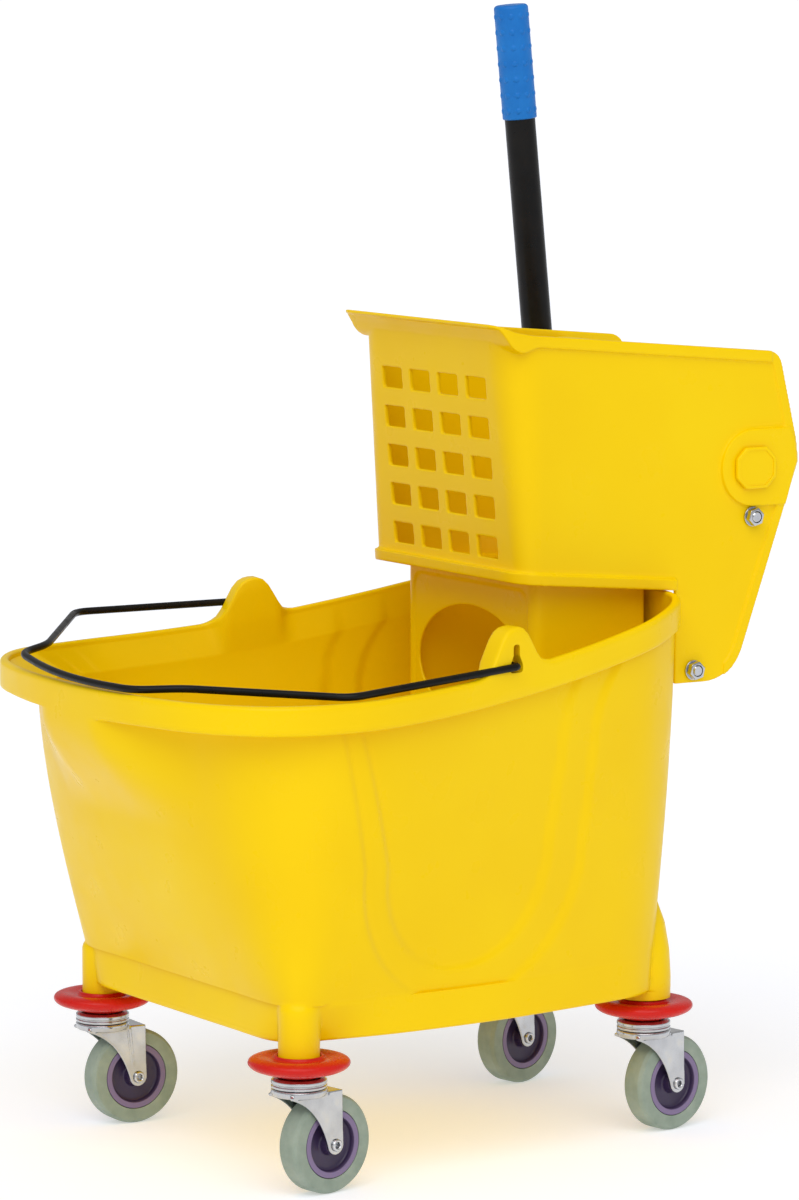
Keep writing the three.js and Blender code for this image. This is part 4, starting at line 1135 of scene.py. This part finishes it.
def tie_nut(name, node, place):
    low, high = (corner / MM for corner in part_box(node))
    radius, top = WASHER_RADIUS, low.x + WASHER_THICK
    disc = rounded([(0, low.x), (radius, low.x, 0.3), (radius, top, 0.5), (0, top)], 4)
    washer = lathe("washer", disc, 64)
    piece = bevelled(prism_x(name, hexagon(HEX_WIDTH, place.y, place.z), low.x + 0.4, high.x), 0.7)
    join(piece, along_x(washer, place.y, place.z))
    cut(piece, rod_x("bore", NUT_BORE, low.x - 5, high.x + 5, place.y, place.z, 48))
    return install(shade(piece), "zinc_plate", "wringer", node)


def shaft_cap():
    """The rounded octagon that closes the shaft's end, with a slightly lowered face."""
    low, high = (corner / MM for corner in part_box("shaft_cap"))
    w, h, c = 19.0, 16.5, 9.0
    octagon = [(w, c - h), (w, h - c), (w - c, h), (c - w, h),
               (-w, h - c), (-w, c - h), (c - w, -h), (w - c, -h)]

    def outline(scale):
        return rounded([(SHAFT.y + y * scale, SHAFT.z + z * scale, 4) for y, z in octagon], 6)

    piece = bevelled(prism_x("shaft_cap_moulding", outline(1), low.x, high.x), 1.2, 4, 50)
    cut(piece, prism_x("lowered", outline(0.84), high.x - 0.7, high.x + 2))
    return install(shade(piece), "yellow_plastic", "lever", "shaft_cap")


def cross_shaft():
    low, high = (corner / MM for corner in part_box("cross_shaft"))
    end, radius = SHAFT_RADIUS - 1, SHAFT_RADIUS
    profile = [(0, low.x), (end, low.x), (radius, low.x + 1),
               (radius, high.x - 1), (end, high.x), (0, high.x)]
    piece = along_x(lathe("cross_shaft_bar", profile, 64), SHAFT.y, SHAFT.z)
    return install(shade(piece), "bright_steel", "lever", "cross_shaft")


def drive():
    press_plate()
    for tag, place in (("upper_tie", UPPER_TIE), ("plate_hinge", HINGE)):
        tie_bolt(f"{tag}_bolt_turned", f"{tag}_bolt", place)
        tie_nut(f"{tag}_nut_turned", f"{tag}_nut", place)
    shaft_cap()
    cross_shaft()
    for side in ("near", "far"):
        wear(frame["nodes"][f"drive_pinion_{side}"], "dark_gear")


# ---------- lever
LEVER_PLACE, LEVER_LEAN, TUBE_RADIUS = Vector((-140, 235, 627.5)), math.radians(5.72), 12.5
TUBE_LOW, TUBE_HIGH, GRIP_TOP, GRIP_LENGTH, GRIP_RADIUS = 503.0, 883.0, 887.0, 93.0, 14.0
# The rows of nubs round the grip, the nubs in each, their radius and height, and how far the lowest
# and highest stand from its ends.
NUB_ROWS, NUBS, NUB_REACH, NUB_HEIGHT, NUB_LOW, NUB_HIGH = 10, 7, 2.3, 0.75, 7, 9
GRIP_ROUND = 3
SOCKET_HUB, SOCKET_SLEEVE, SOCKET_NEAR, SOCKET_FAR = 20.0, 16.5, -114.0, -154.0


def on_lever(z):
    """A height of the object as a distance along the leaning lever."""
    return (z - LEVER_PLACE.z) / math.cos(LEVER_LEAN)


def leaned(obj):
    place = Vector((LEVER_PLACE.x, LEVER_PLACE.y + DATUM_Y, LEVER_PLACE.z)) * MM
    obj.data.transform(Matrix.Translation(place) @ Matrix.Rotation(LEVER_LEAN, 4, "X"))
    return obj


def lever_tube():
    low, high = on_lever(TUBE_LOW), on_lever(TUBE_HIGH)
    inner = TUBE_RADIUS - 1.6
    profile = [(inner, low), (TUBE_RADIUS - 0.4, low), (TUBE_RADIUS, low + 0.4), (TUBE_RADIUS, high - 0.4),
               (TUBE_RADIUS - 0.4, high), (inner, high)]
    piece = leaned(lathe("lever_tube_drawn", profile, 96, closed=True))
    return install(shade(piece), "black_tube", "lever", "lever_tube")


def lever_grip():
    """A soft sleeve closed at the top, with lengthwise rows of round nubs."""
    top = on_lever(GRIP_TOP) - 1.4
    low, sides, bore = top - GRIP_LENGTH, 240, TUBE_RADIUS + 0.3
    turns = np.linspace(0, 2 * math.pi, sides, endpoint=False)
    row = 2 * math.pi / NUB_ROWS
    spacing = (GRIP_LENGTH - NUB_LOW - NUB_HIGH) / (NUBS - 1)
    rings = []

    def ring(radius, z):
        radius = np.broadcast_to(radius, (sides,))
        rings.append(np.column_stack([radius * np.cos(turns), radius * np.sin(turns), np.full(sides, z)]))

    ring(bore * 0.3, top - 2.5)
    ring(bore, top - 2.5)
    ring(bore, low)
    ring(GRIP_RADIUS - 0.6, low)
    for z in np.linspace(low + 0.6, top - GRIP_ROUND, 200):
        around = ((turns + row / 2) % row - row / 2) * GRIP_RADIUS
        above = z - low - NUB_LOW
        along = above - spacing * np.clip(np.round(above / spacing), 0, NUBS - 1)
        dome = np.sqrt(np.maximum(0, 1 - (around ** 2 + along ** 2) / NUB_REACH ** 2))
        ring(GRIP_RADIUS + NUB_HEIGHT * dome, z)
    for angle in np.radians([20, 40, 60, 80, 90]):
        ring(GRIP_RADIUS - GRIP_ROUND * (1 - math.cos(angle)), top - GRIP_ROUND * (1 - math.sin(angle)))
    ring(GRIP_RADIUS * 0.3, top)
    piece = leaned(loft("lever_grip_sleeve", rings, local=True))
    return install(shade(piece, 60), "blue_grip", "lever", "lever_grip")


def lever_socket():
    """The casting that clamps the tube beside the shaft: hub, web and sleeve."""
    low, high = 500.0, 590.0
    piece = leaned(rod_z("lever_socket_casting", SOCKET_SLEEVE, on_lever(low), on_lever(high)))
    web = [(SHAFT.y, SHAFT.z - SOCKET_HUB + 1), (SHAFT.y, SHAFT.z + SOCKET_HUB - 1), (240, 575), (246, 504)]
    join(piece, rod_x("hub", SOCKET_HUB, SOCKET_FAR, SOCKET_NEAR, SHAFT.y, SHAFT.z),
         prism_x("web", web, SOCKET_FAR + 4, SOCKET_NEAR - 6))
    cut(piece, leaned(rod_z("bore", TUBE_RADIUS + 0.3, on_lever(low + 2.7), 10)),
        rod_x("bore", 8.3, -152.3, SOCKET_NEAR + 5, SHAFT.y, SHAFT.z))
    return install(moulded(piece, 0.9, 3), "black_tube", "lever", "lever_socket")


# ---------- assembly
make_camera()
make_studio()
tub()
casters()
bail()
casing()
drive()
lever_tube()
lever_grip()
lever_socket()
